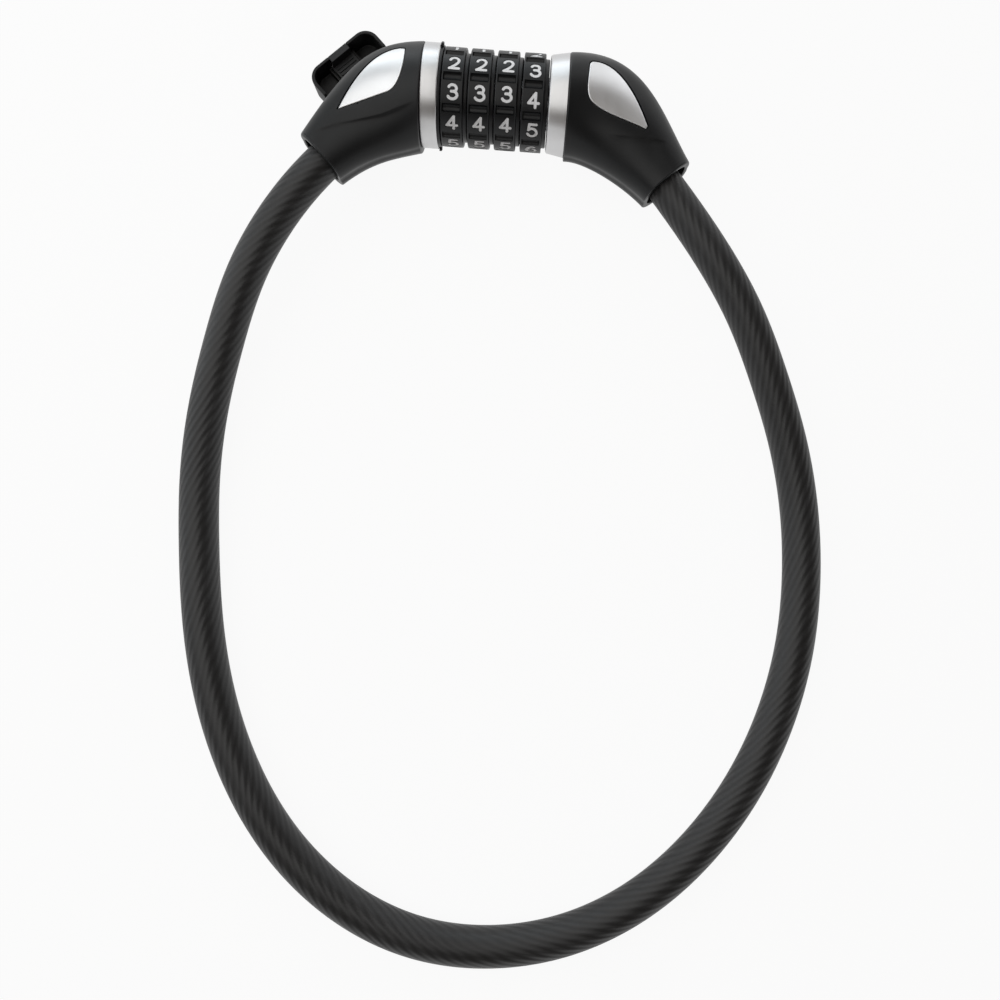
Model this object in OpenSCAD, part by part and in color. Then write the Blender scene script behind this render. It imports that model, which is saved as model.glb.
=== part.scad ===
// Combination cable lock: a barrel of dials between two curved housings that hold the ends of a
// sheathed steel cable, with a small frame bracket on the back.
// The ground is Z = 0, +X runs along the barrel and the cable loop hangs towards -Y.

/* [Placement] */
// X of the middle of the barrel
barrel_x = -1.56; // [-6:0.01:6]
// Y of the barrel's axis
axis_y = 2.95; // [-6:0.01:6]
// Height of the barrel's axis above the ground
axis_z = 17; // [17:0.5:20]

/* [Dials] */
// Distance from one dial to the next
dial_pitch = 8.2; // [8:0.1:8.4]
// Left face of the first dial, from the middle of the barrel
dial_start = -15.6; // [-15.6:0.1:-15.4]
// Gap between two neighbouring dials
dial_gap = 0.25; // [0.2:0.05:0.4]
// Radius over the number pads
dial_r = 14.9; // [14.4:0.1:15]
// Width of the number pads
pad_w = 6.7; // [6:0.1:7]
// Radius of the plain band beside the pads
band_r = 13.3; // [12.5:0.1:13.6]
// Number of pads round a dial
pad_count = 10; // [10]
// Radius of the scoop between two pads
scoop_r = 1.35; // [1:0.05:1.6]
// How far the scoop's centre lies outside the pads
scoop_out = 0.2; // [0:0.1:0.4]
// Rim left at both ends of a scoop
scoop_rim = 0.55; // [0.4:0.05:0.8]

/* [Code core] */
// Outer radius of the code sleeves, which the dials sit on
sleeve_r = 10.5; // [10:0.1:11]
// Outer radius of the core tube
core_r = 6.5; // [6.5:0.1:6.8]
// Radial running clearance of the sleeves on the core tube
sleeve_fit = 0.05; // [0.02:0.01:0.1]
// Radius of the bolt
bolt_r = 4.92; // [4.8:0.01:4.96]
// Radial running clearance of the bolt in the core tube
bolt_fit = 0.08; // [0.03:0.01:0.1]
// Width of the bolt's fins
fin_w = 2; // [1.6:0.1:2]
// Length of each fin along the bolt
fin_l = 2.4; // [2:0.1:2.4]
// Wall of a code sleeve outside its gate and its ring groove
gate_wall = 1.2; // [1:0.1:1.4]
// Radial clearance of the fins in the gate
fin_fit = 0.5; // [0.3:0.1:0.8]
// Width of the slot in the core tube
core_slot_w = 2.6; // [2.6:0.1:3]
// Width of the gate in each code sleeve
gate_w = 2.8; // [2.8:0.1:3.2]
// Width of the ring groove in which a fin stands while it is locked
ring_groove_w = 3; // [3:0.1:3.4]

/* [Rings] */
// Radius of the left ring
left_ring_r = 15.8; // [15:0.1:16]
// Width of the left ring
left_ring_w = 5.3; // [5:0.1:5.6]
// Width of the index collar
collar_w = 0.85; // [0.7:0.05:1.1]
// How far the index collar lies below the left ring
collar_step = 0.6; // [0.4:0.1:0.8]
// Wall of the left ring, which sits on the core tube's flange
left_ring_wall = 3.8; // [3.5:0.1:4]
// Width of the right ring
right_ring_w = 5.9; // [5.5:0.1:6.5]
// Right ring's radius at the dials
right_ring_r1 = 14.7; // [14:0.1:15]
// Right ring's radius at the housing
right_ring_r2 = 15.8; // [15:0.1:16]
// Least wall of the right ring, which sits on the bolt's flange
right_ring_wall = 3.2; // [2.8:0.1:3.4]

/* [Housings] */
// Wall of the housings
wall = 2; // [1.8:0.1:2.2]
// Half thickness of the left housing at the ring
left_lip_b = 16.7; // [16.5:0.1:16.9]
// Half thickness of the right housing at the ring
right_lip_b = 16.25; // [16:0.05:16.5]
// Half thickness of both housings at the mouth
mouth_b = 9.5; // [9.3:0.1:9.8]
// How square the section gets at the mouth: 0 is an ellipse
squareness = 0.6; // [0.4:0.1:0.8]
// Depth of the recess for the silver inserts
insert_depth = 1; // [0.8:0.1:1.2]
// Gap round the silver inserts
insert_gap = 0.15; // [0.1:0.05:0.3]
// Radius of the screw posts
post_r = 3.2; // [3:0.1:3.3]
// Radius of the housing screws' shanks
screw_r = 1.25; // [1:0.05:1.4]
// Radius of the housing screws' heads
head_r = 2.2; // [2:0.1:2.3]

/* [Cable] */
// Diameter over the sheath
cable_d = 12; // [11:0.5:12]
// Diameter of the hole in the sheath
sheath_bore_d = 8; // [7:0.1:8.2]
// Radial gap between the rope and the sheath or ferrule
rope_fit = 0.1; // [0.05:0.05:0.2]
// Angle below the barrel's axis at which the cable leaves the head
exit_angle = 51; // [50:1:52]
// Radius of the exit bushes
bush_r = 6.8; // [6.5:0.1:6.9]
// Thickness of the exit bushes
bush_w = 4; // [3:0.5:5]
// Radius of the ferrules
ferrule_r = 5.2; // [5:0.1:5.4]
// Length of the ferrules
ferrule_l = 12; // [10:1:12]

/* [Bracket] */
// Width of the bracket shoe
shoe_w = 26.1; // [25:0.1:27]
// Far edge of the shoe from the barrel's middle, along the slide
shoe_far = 49; // [47:0.5:50]
// Near edge of the shoe from the barrel's middle, along the slide
shoe_near = 22; // [22:0.5:23]
// Thickness of the shoe's base
shoe_base = 1.6; // [1.4:0.1:1.6]
// Thickness of the shoe's rim
shoe_rim = 1.1; // [1:0.1:1.3]
// Height of the shoe's rim outside the housing
shoe_h = 9; // [8:0.5:10]
// Height of the shoe's rails under the housing
rail_h = 5.4; // [5.2:0.1:5.6]
// Clearance of the tongue in the shoe and of the latch in its window
slide_gap = 0.3; // [0.2:0.05:0.4]
// Travel of the release latch
latch_travel = 1.6; // [1:0.1:1.8]

/* [Hidden] */
$fn = 96;
over = 1;

dial_w = dial_pitch - dial_gap;
// Angle by which each dial rests off the exact line of the digits, within its play
dial_rest = [0, 0, 1.5, -3];
collar_r = left_ring_r - collar_step;
flange_r = left_ring_r - left_ring_wall;
bolt_flange_r = right_ring_r1 - right_ring_wall;
gate_r = sleeve_r - gate_wall;
fin_r = gate_r - fin_fit;
collar_end = dial_start - dial_gap;
left_ring_end = collar_end - collar_w;
left_face = left_ring_end - left_ring_w;
right_ring_start = dial_start + 3 * dial_pitch + dial_w + 0.2;
right_face = right_ring_start + right_ring_w;
bulkhead_w = 2;
flange_start = left_face - bulkhead_w - 0.2;
flange_end = collar_end - 0.15;
core_spigot_l = 7;
core_end = right_ring_start + 0.8;
bore_end = left_face - 0.7;
clip_start = core_end - 1.3;
clip_w = 0.7;
clip_groove_r = core_r - 0.6;
clip_r = core_r + 1.5;
bolt_flange_start = core_end + 1.2;
bolt_flange_end = right_face - 0.5;
bolt_tail_r = 6;
bolt_tail_l = 8.7;
bolt_nose = dial_start + 0.6;
socket_r = 8;
pin_r = 1.25;
grub_r = 1.8;
strip_groove_r = core_r - 0.7;
strip_w = 2.2;
strip_t = 0.35;

// Housing outlines in the barrel's own plane, as cubic curves from the ring to the cable's mouth:
// the outer edge, the inner edge, the half thickness at the ring and the side it is on.
// The right side's points are measured from the right ring's face.
function beside_face(points) = [for (p = points) [p[0] + right_face, p[1]]];
left_side = [
  [[left_face, 15.8], [-39.5, 15.6], [-46.2, 6.9], [-59, -17.3]],
  [[left_face, -17.6], [-29.5, -20.7], [-35.7, -20.8], [-45.7, -29.7]],
  left_lip_b, -1
];
right_side = [
  beside_face([[0, 15.9], [24.45, 19.7], [30.55, -2.5], [39.75, -17.1]]),
  beside_face([[0, -17], [6.05, -16.9], [18.25, -22.9], [25.95, -30]]),
  right_lip_b, 1
];
left_insert_edges = [
  [[-47, -10.9], [-43.5, -2], [-37.5, 9.5], [-28.5, 9.5]],
  [[-27.2, 9], [-26.9, 5], [-26.8, -3.5], [-31, -5.7]],
  [[-31.4, -5.9], [-35, -6.9], [-41, -8.9], [-46.5, -11]]
];
right_insert_edges = [
  beside_face([[6.55, 9.4], [13.45, 11.5], [20.45, 2.5], [25.55, -9.8]]),
  beside_face([[24.55, -10.5], [18.95, -8.4], [12.95, -7.8], [8.15, -5.2]]),
  beside_face([[7.85, -5], [4.55, -3.2], [5.55, 1.5], [5.85, 8.8]])
];
left_posts = [[-27.5, 11.6], [-28, -13.4]];
right_posts = beside_face([[6.95, 11.6], [6.95, -13]]);
loft_rings = 16;
loft_sides = 28;
counterbore_w = -5.6;
head_h = 1.5;
screw_end = 6.5;

// Where the cable's axis crosses the outer face of each exit bush, from the barrel's middle
left_exit = [-48, -19.5];
right_exit = [right_face + 28.95, -19.4];
cable_lead = 14;
cable_sides = 12;
// The cable's route on the ground, from the right exit round to the left exit
route = [
  [70, -41.5, 16.6], [81.5, -59, 14.5], [91, -79, 11.4], [98.5, -98.5, 8.4], [103.5, -120, 6.4],
  [105, -142, 6], [103.8, -162, 6], [99.5, -182, 6], [91, -203, 6], [78, -223, 6],
  [61, -239.8, 6], [39.5, -252, 6], [14, -257.5, 6], [-9, -255.8, 6], [-31, -246.8, 6],
  [-51, -230.4, 6], [-65.5, -209.8, 6], [-75, -188, 6], [-80.6, -167, 6], [-84.2, -143, 6],
  [-85.8, -120, 6.9], [-84.4, -99, 9.1], [-80.5, -78, 12.1], [-74.2, -56, 15.4], [-68, -43, 16.6]
];

// The bracket's own directions are turned 45 degrees: its Y is the slide, away from the barrel.
shoe_mid = -25.15;
shoe_turn = 45;
land_z = 6.2;
land_floor = 7.8;
tongue_near = 24;
tongue_far = 33.5;
tongue_w = 22.4;
tongue_t = 1.8;
tongue_bottom = shoe_base + 0.5;
neck_w = 14;
lip_bottom = tongue_bottom + tongue_t + slide_gap;
latch_w = 8;
tab_w = 6.9;
latch_z = shoe_base + latch_travel + 0.4;
latch_t = 1.2;

function bez(p, t) = pow(1 - t, 3) * p[0] + 3 * pow(1 - t, 2) * t * p[1]
  + 3 * (1 - t) * t * t * p[2] + pow(t, 3) * p[3];
function unit(v) = v / norm(v);
function signed_pow(v, e) = sign(v) * pow(abs(v), e);

// A ring of points round a housing at the share t of its length, drawn in by inset
function section(side, t, inset) = let (
  o = bez(side[0], t),
  i = bez(side[1], t),
  half = norm(o - i) / 2,
  arm = unit(o - i) * (half - inset),
  c = min(1, max(0, t)),
  b = mouth_b + (side[2] - mouth_b) * pow(max(0, 1 - t), 1.6) - inset,
  e = 2 / (2 + squareness * c * c * (3 - 2 * c))
) [
  for (k = [0:loft_sides - 1]) let (
    a = 360 * k / loft_sides,
    p = (o + i) / 2 + arm * signed_pow(cos(a), e)
  ) [p[0], p[1], b * signed_pow(sin(a), e)]
];

// Faces of a stack of rings with m points each; flip turns them inside out
function stack_faces(rings, m, flip) = let (
  turn = function (f) flip ? [for (k = [len(f) - 1:-1:0]) f[k]] : f
) concat(
  [turn([for (k = [0:m - 1]) k])],
  [turn([for (k = [m - 1:-1:0]) (rings - 1) * m + k])],
  [
    for (j = [0:rings - 2], k = [0:m - 1]) let (n = (k + 1) % m)
      turn([j * m + k, (j + 1) * m + k, (j + 1) * m + n])
  ],
  [
    for (j = [0:rings - 2], k = [0:m - 1]) let (n = (k + 1) % m)
      turn([j * m + k, (j + 1) * m + n, j * m + n])
  ]
);

module loft(side, inset, t0 = 0, t1 = 1) {
  points = [
    for (j = [0:loft_rings - 1])
      each section(side, t0 + (t1 - t0) * j / (loft_rings - 1), inset)
  ];
  polyhedron(points, stack_faces(loft_rings, loft_sides, side[3] < 0), convexity = 6);
}

module head() {
  translate([barrel_x, axis_y, axis_z]) children();
}

module rod(x0, x1, r, r2 = 0) {
  translate([x0, 0, 0]) rotate([0, 90, 0]) cylinder(h = x1 - x0, r1 = r, r2 = r2 > 0 ? r2 : r);
}

module tube(x0, x1, ro, ri) {
  difference() {
    rod(x0, x1, ro);
    rod(x0 - over, x1 + over, ri);
  }
}

// Turns round the barrel's axis, so that what stands up at 0 points a degrees towards +Y
module round_axis(a) {
  rotate([-a, 0, 0]) children();
}

module cross_hole(u, r, w0, w1) {
  translate([u, 0, w0]) cylinder(h = w1 - w0, r = r);
}

// ---- barrel ----

module dial(i) {
  color("#1b1c1f") head() translate([dial_start + i * dial_pitch, 0, 0]) difference() {
    union() {
      rod(0, pad_w, dial_r);
      rod(0, dial_w, band_r);
    }
    rod(-over, dial_w + over, sleeve_r);
    for (k = [0:pad_count - 1])
      round_axis(360 * k / pad_count + dial_rest[i]) translate([0, 0, dial_r + scoop_out])
        rod(scoop_rim, pad_w - scoop_rim, scoop_r);
  }
}

module code_sleeve(i) {
  side_gap = 0.3;
  notch_r = 0.5;
  color("#b58a3c") head() translate([dial_start + i * dial_pitch, 0, 0]) difference() {
    rod(side_gap, dial_w - side_gap, sleeve_r);
    rod(-over, dial_w + over, core_r + sleeve_fit);
    rod((dial_w - ring_groove_w) / 2, (dial_w + ring_groove_w) / 2, gate_r);
    translate([-over, -gate_w / 2, 0]) cube([dial_w + 2 * over, gate_w, gate_r]);
    for (k = [1:pad_count - 1])
      round_axis(360 * k / pad_count) translate([0, 0, core_r]) rod(-over, dial_w + over, notch_r);
  }
}

module core_tube() {
  color("#9a9ca0") head() difference() {
    union() {
      rod(flange_start - core_spigot_l, flange_start + over, core_r);
      rod(flange_start, flange_end, flange_r);
      rod(flange_end - over, core_end, core_r);
    }
    rod(bore_end, core_end + over, bolt_r + bolt_fit);
    translate([flange_end + 0.1, -core_slot_w / 2, 0])
      cube([core_end - flange_end + over, core_slot_w, core_r + over]);
    tube(clip_start, clip_start + clip_w, core_r + over, clip_groove_r);
    translate([flange_end + over, -strip_w / 2 - 0.1, -core_r - over])
      cube([clip_start - flange_end - 2 * over, strip_w + 0.2, core_r + over - strip_groove_r]);
    cross_hole(flange_start - core_spigot_l / 2, pin_r, -core_r - over, core_r + over);
  }
}

module detent_strip() {
  bump_r = 0.55;
  bump_w = 1.8;
  strip_u = flange_end + over + 0.2;
  strip_l = clip_start - flange_end - 2 * over - 0.4;
  color("silver") head() union() {
    translate([strip_u, -strip_w / 2, -strip_groove_r - strip_t]) cube([strip_l, strip_w, strip_t]);
    for (i = [0:3])
      translate([dial_start + i * dial_pitch + dial_w / 2, -bump_w / 2, -strip_groove_r])
        intersection() {
          rotate([-90, 0, 0]) cylinder(h = bump_w, r = bump_r);
          translate([-over, 0, -over]) cube([2 * over, bump_w, over]);
        }
  }
}

module cone_washer() {
  washer_ro = sleeve_r - 0.5;
  washer_ri = core_r + 0.5;
  washer_t = 0.3;
  washer_dish = 0.3;
  color("silver") head() rotate([0, 90, 0]) rotate_extrude()
    polygon([
      [washer_ro, flange_end], [washer_ro, flange_end + washer_t],
      [washer_ri, flange_end + washer_t + washer_dish], [washer_ri, flange_end + washer_dish]
    ]);
}

module retaining_ring() {
  gap_w = 5;
  color("silver") head() difference() {
    tube(clip_start, clip_start + clip_w, clip_r, clip_groove_r);
    translate([clip_start - over, -gap_w / 2, 0]) cube([clip_w + 2 * over, gap_w, clip_r + over]);
  }
}

module left_ring() {
  color("#c9c8c6") head() tube(left_face, left_ring_end, left_ring_r, flange_r);
}

module index_collar() {
  nib_w = 2.2;
  nib_h = 1.2;
  nib_root = 0.5;
  color("#17181a") head() union() {
    tube(left_ring_end, collar_end, collar_r, flange_r);
    for (a = [50, 242])
      round_axis(a) translate([left_ring_end, -nib_w / 2, collar_r - nib_root])
        cube([collar_w, nib_w, nib_h + nib_root]);
  }
}

module right_ring() {
  color("#c4c3c1") head() difference() {
    rod(right_ring_start, right_face, right_ring_r1, right_ring_r2);
    rod(right_ring_start - over, right_face + over, bolt_flange_r);
  }
}

module bolt() {
  nose_l = 2.5;
  color("silver") head() difference() {
    union() {
      rod(bolt_nose - nose_l, bolt_nose, bolt_r - 1.4, bolt_r);
      rod(bolt_nose, bolt_flange_start + over, bolt_r);
      rod(bolt_flange_start, bolt_flange_end, bolt_flange_r);
      rod(bolt_flange_end - over, bolt_flange_end + bolt_tail_l, bolt_tail_r);
      for (i = [0:3])
        translate([dial_start + i * dial_pitch + (dial_w - fin_l) / 2, -fin_w / 2, 0])
          cube([fin_l, fin_w, fin_r]);
    }
    cross_hole(bolt_flange_end + bolt_tail_l / 2, pin_r, -bolt_tail_r - over, bolt_tail_r + over);
  }
}

module cross_pin(u) {
  color("dimgray") head() cross_hole(u, pin_r, -socket_r + 0.2, socket_r - 0.2);
}

// ---- cable ends ----

function exit_turn(s) = s < 0 ? 180 + exit_angle : -exit_angle;
function exit_at(s) = s < 0 ? left_exit : right_exit;
function exit_dir(s) = [cos(exit_turn(s)), sin(exit_turn(s))];
function from_exit(s, p) = let (d = exit_dir(s)) exit_at(s) + p[0] * d + p[1] * [-d[1], d[0]];

// The cable's own axis at an exit: +X points out of the mouth, and 0 is the bush's outer face
module exit_frame(s) {
  translate([exit_at(s)[0], exit_at(s)[1], 0]) rotate([0, 0, exit_turn(s)]) children();
}

module exit_bush(s) {
  color("#26272a") head() exit_frame(s) tube(-bush_w, 0, bush_r, sheath_bore_d / 2 + 2 * rope_fit);
}

module ferrule(s) {
  color("#a8aaad") head() exit_frame(s)
    tube(-bush_w - ferrule_l, -bush_w, ferrule_r, sheath_bore_d / 2 + rope_fit);
}

module anchor_screw(s) {
  hex_r = 0.9;
  color("dimgray") head() exit_frame(s) translate([-bush_w - ferrule_l / 2, 0, ferrule_r])
    difference() {
      cylinder(h = bush_r - ferrule_r - 0.1, r = grub_r);
      translate([0, 0, 0.5]) cylinder(h = bush_r, r = hex_r, $fn = 6);
    }
}

// A casting that joins the barrel's spigot, between u0 and u1 with radius r, to the ferrule
module anchor(s, u0, u1, r, pin_u) {
  near = s < 0 ? u1 - 4 : u0 + 6;
  web_h = 6;
  web_half = socket_r - 0.5;
  color("#8f9196") head() difference() {
    union() {
      rod(u0, u1, socket_r);
      exit_frame(s) rod(-bush_w - ferrule_l - 1, -bush_w, bush_r);
      translate([0, 0, -web_h / 2]) linear_extrude(web_h) polygon([
        [near, web_half], [near, -web_half], from_exit(s, [-9, -s * 6]), from_exit(s, [-9, s * 6])
      ]);
    }
    rod(s < 0 ? u1 - core_spigot_l : u0 - over, s < 0 ? u1 + over : u0 + bolt_tail_l, r);
    exit_frame(s) rod(-bush_w - ferrule_l, over, ferrule_r);
    exit_frame(s) cross_hole(-bush_w - ferrule_l / 2, grub_r, 0, bush_r + over);
    cross_hole(pin_u, pin_r, -socket_r - over, socket_r + over);
  }
}

module left_anchor() {
  anchor(-1, flange_start - core_spigot_l - 1.5, flange_start, core_r,
    flange_start - core_spigot_l / 2);
}

module right_anchor() {
  anchor(1, bolt_flange_end, bolt_flange_end + bolt_tail_l + 1.5, bolt_tail_r,
    bolt_flange_end + bolt_tail_l / 2);
}

// ---- cable ----

function lift(s, x) = let (p = from_exit(s, [x, 0])) [p[0] + barrel_x, p[1] + axis_y, axis_z];
cable_path = concat([lift(1, 0), lift(1, cable_lead)], route, [lift(-1, cable_lead), lift(-1, 0)]);
rope_end = -bush_w - ferrule_l + 1;
rope_path = concat([lift(1, rope_end)], cable_path, [lift(-1, rope_end)]);

function tangent(path, j) = unit(path[min(j + 1, len(path) - 1)] - path[max(j - 1, 0)]);
function ring_at(path, j, r) = let (
  t = tangent(path, j),
  side = unit(cross(t, [0, 0, 1])),
  up = cross(side, t)
) [
  for (k = [0:cable_sides - 1]) let (a = 360 * (k + 0.5) / cable_sides)
    path[j] + r / cos(180 / cable_sides) * (cos(a) * side + sin(a) * up)
];
function swept(path, r) = [for (j = [0:len(path) - 1]) each ring_at(path, j, r)];

// A hollow tube: its outer rings, its inner rings and the flat ends between them
module hollow_sweep(path, ro, ri) {
  n = len(path);
  m = cable_sides;
  inner = n * m;
  last = (n - 1) * m;
  outer_faces = [for (f = stack_faces(n, m, false)) if (len(f) == 3) f];
  inner_faces = [for (f = stack_faces(n, m, true)) if (len(f) == 3) [for (v = f) v + inner]];
  start_faces = [
    for (k = [0:m - 1]) let (q = (k + 1) % m) each [[k, q, inner + q], [k, inner + q, inner + k]]
  ];
  end_faces = [
    for (k = [0:m - 1]) let (q = (k + 1) % m, e = last, d = inner + last)
      each [[e + q, e + k, d + k], [e + q, d + k, d + q]]
  ];
  polyhedron(concat(swept(path, ro), swept(path, ri)),
    concat(outer_faces, inner_faces, start_faces, end_faces), convexity = 8);
}

module cable_sheath() {
  color("#2d2e30") hollow_sweep(cable_path, cable_d / 2, sheath_bore_d / 2);
}

module cable_core() {
  color("silver") polyhedron(swept(rope_path, sheath_bore_d / 2 - rope_fit),
    stack_faces(len(rope_path), cable_sides, false), convexity = 8);
}

// ---- housings ----

function outline(edges) = [for (e = edges, k = [0:8]) bez(e, k / 8)];

module insert_prism(edges, gap) {
  translate([0, 0, 3]) linear_extrude(left_lip_b) offset(delta = -gap) polygon(outline(edges));
}

module insert(side, edges) {
  color("#d0d1d3") head() difference() {
    intersection() {
      loft(side, 0);
      insert_prism(edges, insert_gap);
    }
    loft(side, insert_depth);
  }
}

// The hollow of a housing, closed towards the ring by a bulkhead and clear of the screw posts
module cavity(side, posts) {
  s = side[3];
  face = side[0][0][0];
  difference() {
    loft(side, wall, 0, 1.04);
    translate([s < 0 ? face - bulkhead_w : face - 30, -30, -30])
      cube([30 + bulkhead_w, 60, 60]);
    for (p = posts)
      translate([p[0], p[1], -30]) cylinder(h = 60, r = post_r);
    if (s < 0)
      in_shoe() translate([-shoe_w / 2 - 2, shoe_near - 1, -1])
        cube([shoe_w + 4, 40, land_floor + 1]);
  }
}

module housing(side, posts, edges, hole_r, front) {
  difference() {
    loft(side, 0);
    cavity(side, posts);
    rod(side[0][0][0] - 4, side[0][0][0] + 4, hole_r);
    if (front)
      difference() {
        insert_prism(edges, 0);
        loft(side, insert_depth);
      }
    for (p = posts)
      translate([p[0], p[1], 0]) {
        if (front) translate([0, 0, -over]) cylinder(h = screw_end + over, r = screw_r);
        if (!front) translate([0, 0, -30]) cylinder(h = 31, r = screw_r + 0.1);
        if (!front) translate([0, 0, -30]) cylinder(h = 30 + counterbore_w, r = head_r + 0.2);
      }
    translate([-100, -60, front ? -40 : 0]) cube([200, 120, 40]);
  }
}

module housing_screws(posts) {
  slot_w = 0.6;
  color("#6c6e72") head() for (p = posts)
    translate([p[0], p[1], 0]) difference() {
      union() {
        translate([0, 0, counterbore_w]) cylinder(h = screw_end - counterbore_w, r = screw_r);
        translate([0, 0, counterbore_w - head_h]) cylinder(h = head_h, r = head_r);
      }
      for (a = [0, 90])
        translate([0, 0, counterbore_w - head_h]) rotate([0, 0, a])
          cube([2 * head_r - 1.2, slot_w, 1.6], center = true);
    }
}

// Places what is drawn in the bracket's own directions under the left housing
module in_shoe() {
  translate([0, 0, -axis_z]) rotate([0, 0, shoe_turn]) translate([shoe_mid, 0, 0]) children();
}

module tongue() {
  translate([-tongue_w / 2, tongue_near, tongue_bottom])
    cube([tongue_w, tongue_far - tongue_near, tongue_t]);
  translate([-neck_w / 2, tongue_near, tongue_bottom])
    cube([neck_w, tongue_far - tongue_near, 10 - tongue_bottom]);
}

module left_housing_front() {
  color("#1d1e20") head() housing(left_side, left_posts, left_insert_edges, flange_r, true);
}

module left_housing_back() {
  color("#1d1e20") head() union() {
    difference() {
      housing(left_side, left_posts, left_insert_edges, flange_r, false);
      in_shoe() translate([-shoe_w / 2 - 1, shoe_near - 1, -1]) cube([shoe_w + 2, 40, land_z + 1]);
    }
    difference() {
      in_shoe() tongue();
      cavity(left_side, left_posts);
    }
  }
}

module right_housing_front() {
  color("#1d1e20") head() housing(right_side, right_posts, right_insert_edges, socket_r, true);
}

module right_housing_back() {
  color("#1d1e20") head() housing(right_side, right_posts, right_insert_edges, socket_r, false);
}

// ---- bracket ----

// A plate with round far corners
module shoe_outline(inset, r) {
  w = shoe_w / 2 - inset;
  far = shoe_far - inset;
  near = shoe_near - (inset > 0 ? over : 0);
  translate([-w, near]) square([2 * w, far - near - r]);
  translate([-w + r, near]) square([2 * (w - r), far - near]);
  for (s = [-1, 1]) translate([s * (w - r), far - r]) circle(r);
}

module bracket_shoe() {
  corner = 4.8;
  slope_far = 40;
  slope_near = 36.5;
  lip_w = shoe_w / 2 - shoe_rim - neck_w / 2 - slide_gap;
  strap_l = 6.2;
  strap_w = 2.6;
  color("#202124") head() in_shoe() difference() {
    union() {
      linear_extrude(shoe_base) shoe_outline(0, corner);
      intersection() {
        linear_extrude(shoe_h) difference() {
          shoe_outline(0, corner);
          shoe_outline(shoe_rim, corner - shoe_rim);
        }
        rotate([90, 0, 90]) translate([0, 0, -shoe_w]) linear_extrude(2 * shoe_w) polygon([
          [shoe_near - over, 0], [shoe_far + over, 0], [shoe_far + over, shoe_h],
          [slope_far, shoe_h], [slope_near, rail_h], [shoe_near - over, rail_h]
        ]);
      }
      for (s = [-1, 1])
        translate([s * (neck_w / 2 + slide_gap + lip_w / 2) - lip_w / 2, shoe_near, lip_bottom])
          cube([lip_w, tongue_far + 2 - shoe_near, rail_h - lip_bottom]);
      translate([-shoe_w / 2 + shoe_rim, tongue_far + slide_gap, shoe_base - 0.1])
        cube([shoe_w - 2 * shoe_rim, 1.2, 2]);
      for (s = [-1, 1])
        translate([s * (latch_w / 2 + slide_gap + 0.5) - 0.5, 38, shoe_base - 0.1])
          cube([1, shoe_far - shoe_rim - 38, 2.5]);
    }
    for (s = [-1, 1])
      translate([s * 9.6 - strap_w / 2, 35.8, -over]) cube([strap_w, strap_l, shoe_base + 2 * over]);
    translate([-tab_w / 2 - slide_gap, shoe_far - shoe_rim - over, shoe_base])
      cube([tab_w + 2 * slide_gap, shoe_rim + 2 * over, shoe_h]);
  }
}

module bracket_latch() {
  tab_t = 2.2;
  tab_top = shoe_h - 0.2;
  tab_near = shoe_far - tab_t;
  plate_far = shoe_far - shoe_rim - slide_gap;
  latch_near = tongue_far + slide_gap + 1.2 + slide_gap;
  color("#3a3b3e") head() in_shoe() union() {
    translate([-latch_w / 2, latch_near, latch_z]) cube([latch_w, plate_far - latch_near, latch_t]);
    translate([-tab_w / 2, tab_near, latch_z]) cube([tab_w, tab_t, tab_top - latch_z]);
    for (k = [0:2])
      translate([-tab_w / 2, tab_near - 1.5 - 1.2 * k, latch_z])
        cube([tab_w, 0.6, latch_t + 0.4]);
  }
}

module latch_spring() {
  span = 6.5;
  rise = latch_z - shoe_base;
  leaf_t = 0.3;
  leaf_w = 4.5;
  bow_r = (span * span / 4 + rise * rise) / (2 * rise);
  color("silver") head() in_shoe() translate([0, 41.5, shoe_base]) intersection() {
    translate([-leaf_w / 2, 0, rise - bow_r]) rotate([0, 90, 0]) difference() {
      cylinder(h = leaf_w, r = bow_r);
      translate([0, 0, -over]) cylinder(h = leaf_w + 2 * over, r = bow_r - leaf_t);
    }
    translate([-leaf_w, -span / 2, 0]) cube([2 * leaf_w, span, rise + over]);
  }
}

left_housing_front();
left_housing_back();
insert(left_side, left_insert_edges);  // left_insert
housing_screws(left_posts);  // left_housing_screws
left_ring();
index_collar();
core_tube();
detent_strip();
cone_washer();
retaining_ring();
left_anchor();
cross_pin(flange_start - core_spigot_l / 2);  // left_anchor_pin
anchor_screw(-1);  // left_anchor_screw
ferrule(-1);  // left_ferrule
exit_bush(-1);  // left_exit_bush
cable_core();
cable_sheath();
dial(0);  // dial_1
dial(1);  // dial_2
dial(2);  // dial_3
dial(3);  // dial_4
code_sleeve(0);  // code_sleeve_1
code_sleeve(1);  // code_sleeve_2
code_sleeve(2);  // code_sleeve_3
code_sleeve(3);  // code_sleeve_4
bolt();
cross_pin(bolt_flange_end + bolt_tail_l / 2);  // bolt_pin
right_anchor();
anchor_screw(1);  // right_anchor_screw
ferrule(1);  // right_ferrule
exit_bush(1);  // right_exit_bush
right_ring();
right_housing_front();
right_housing_back();
insert(right_side, right_insert_edges);  // right_insert
housing_screws(right_posts);  // right_housing_screws
bracket_shoe();
bracket_latch();
latch_spring();
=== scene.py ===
# A combination cable lock: the looks of every piece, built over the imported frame.
# Pieces are worked out in millimetres and written to their meshes in metres.
from math import radians

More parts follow.
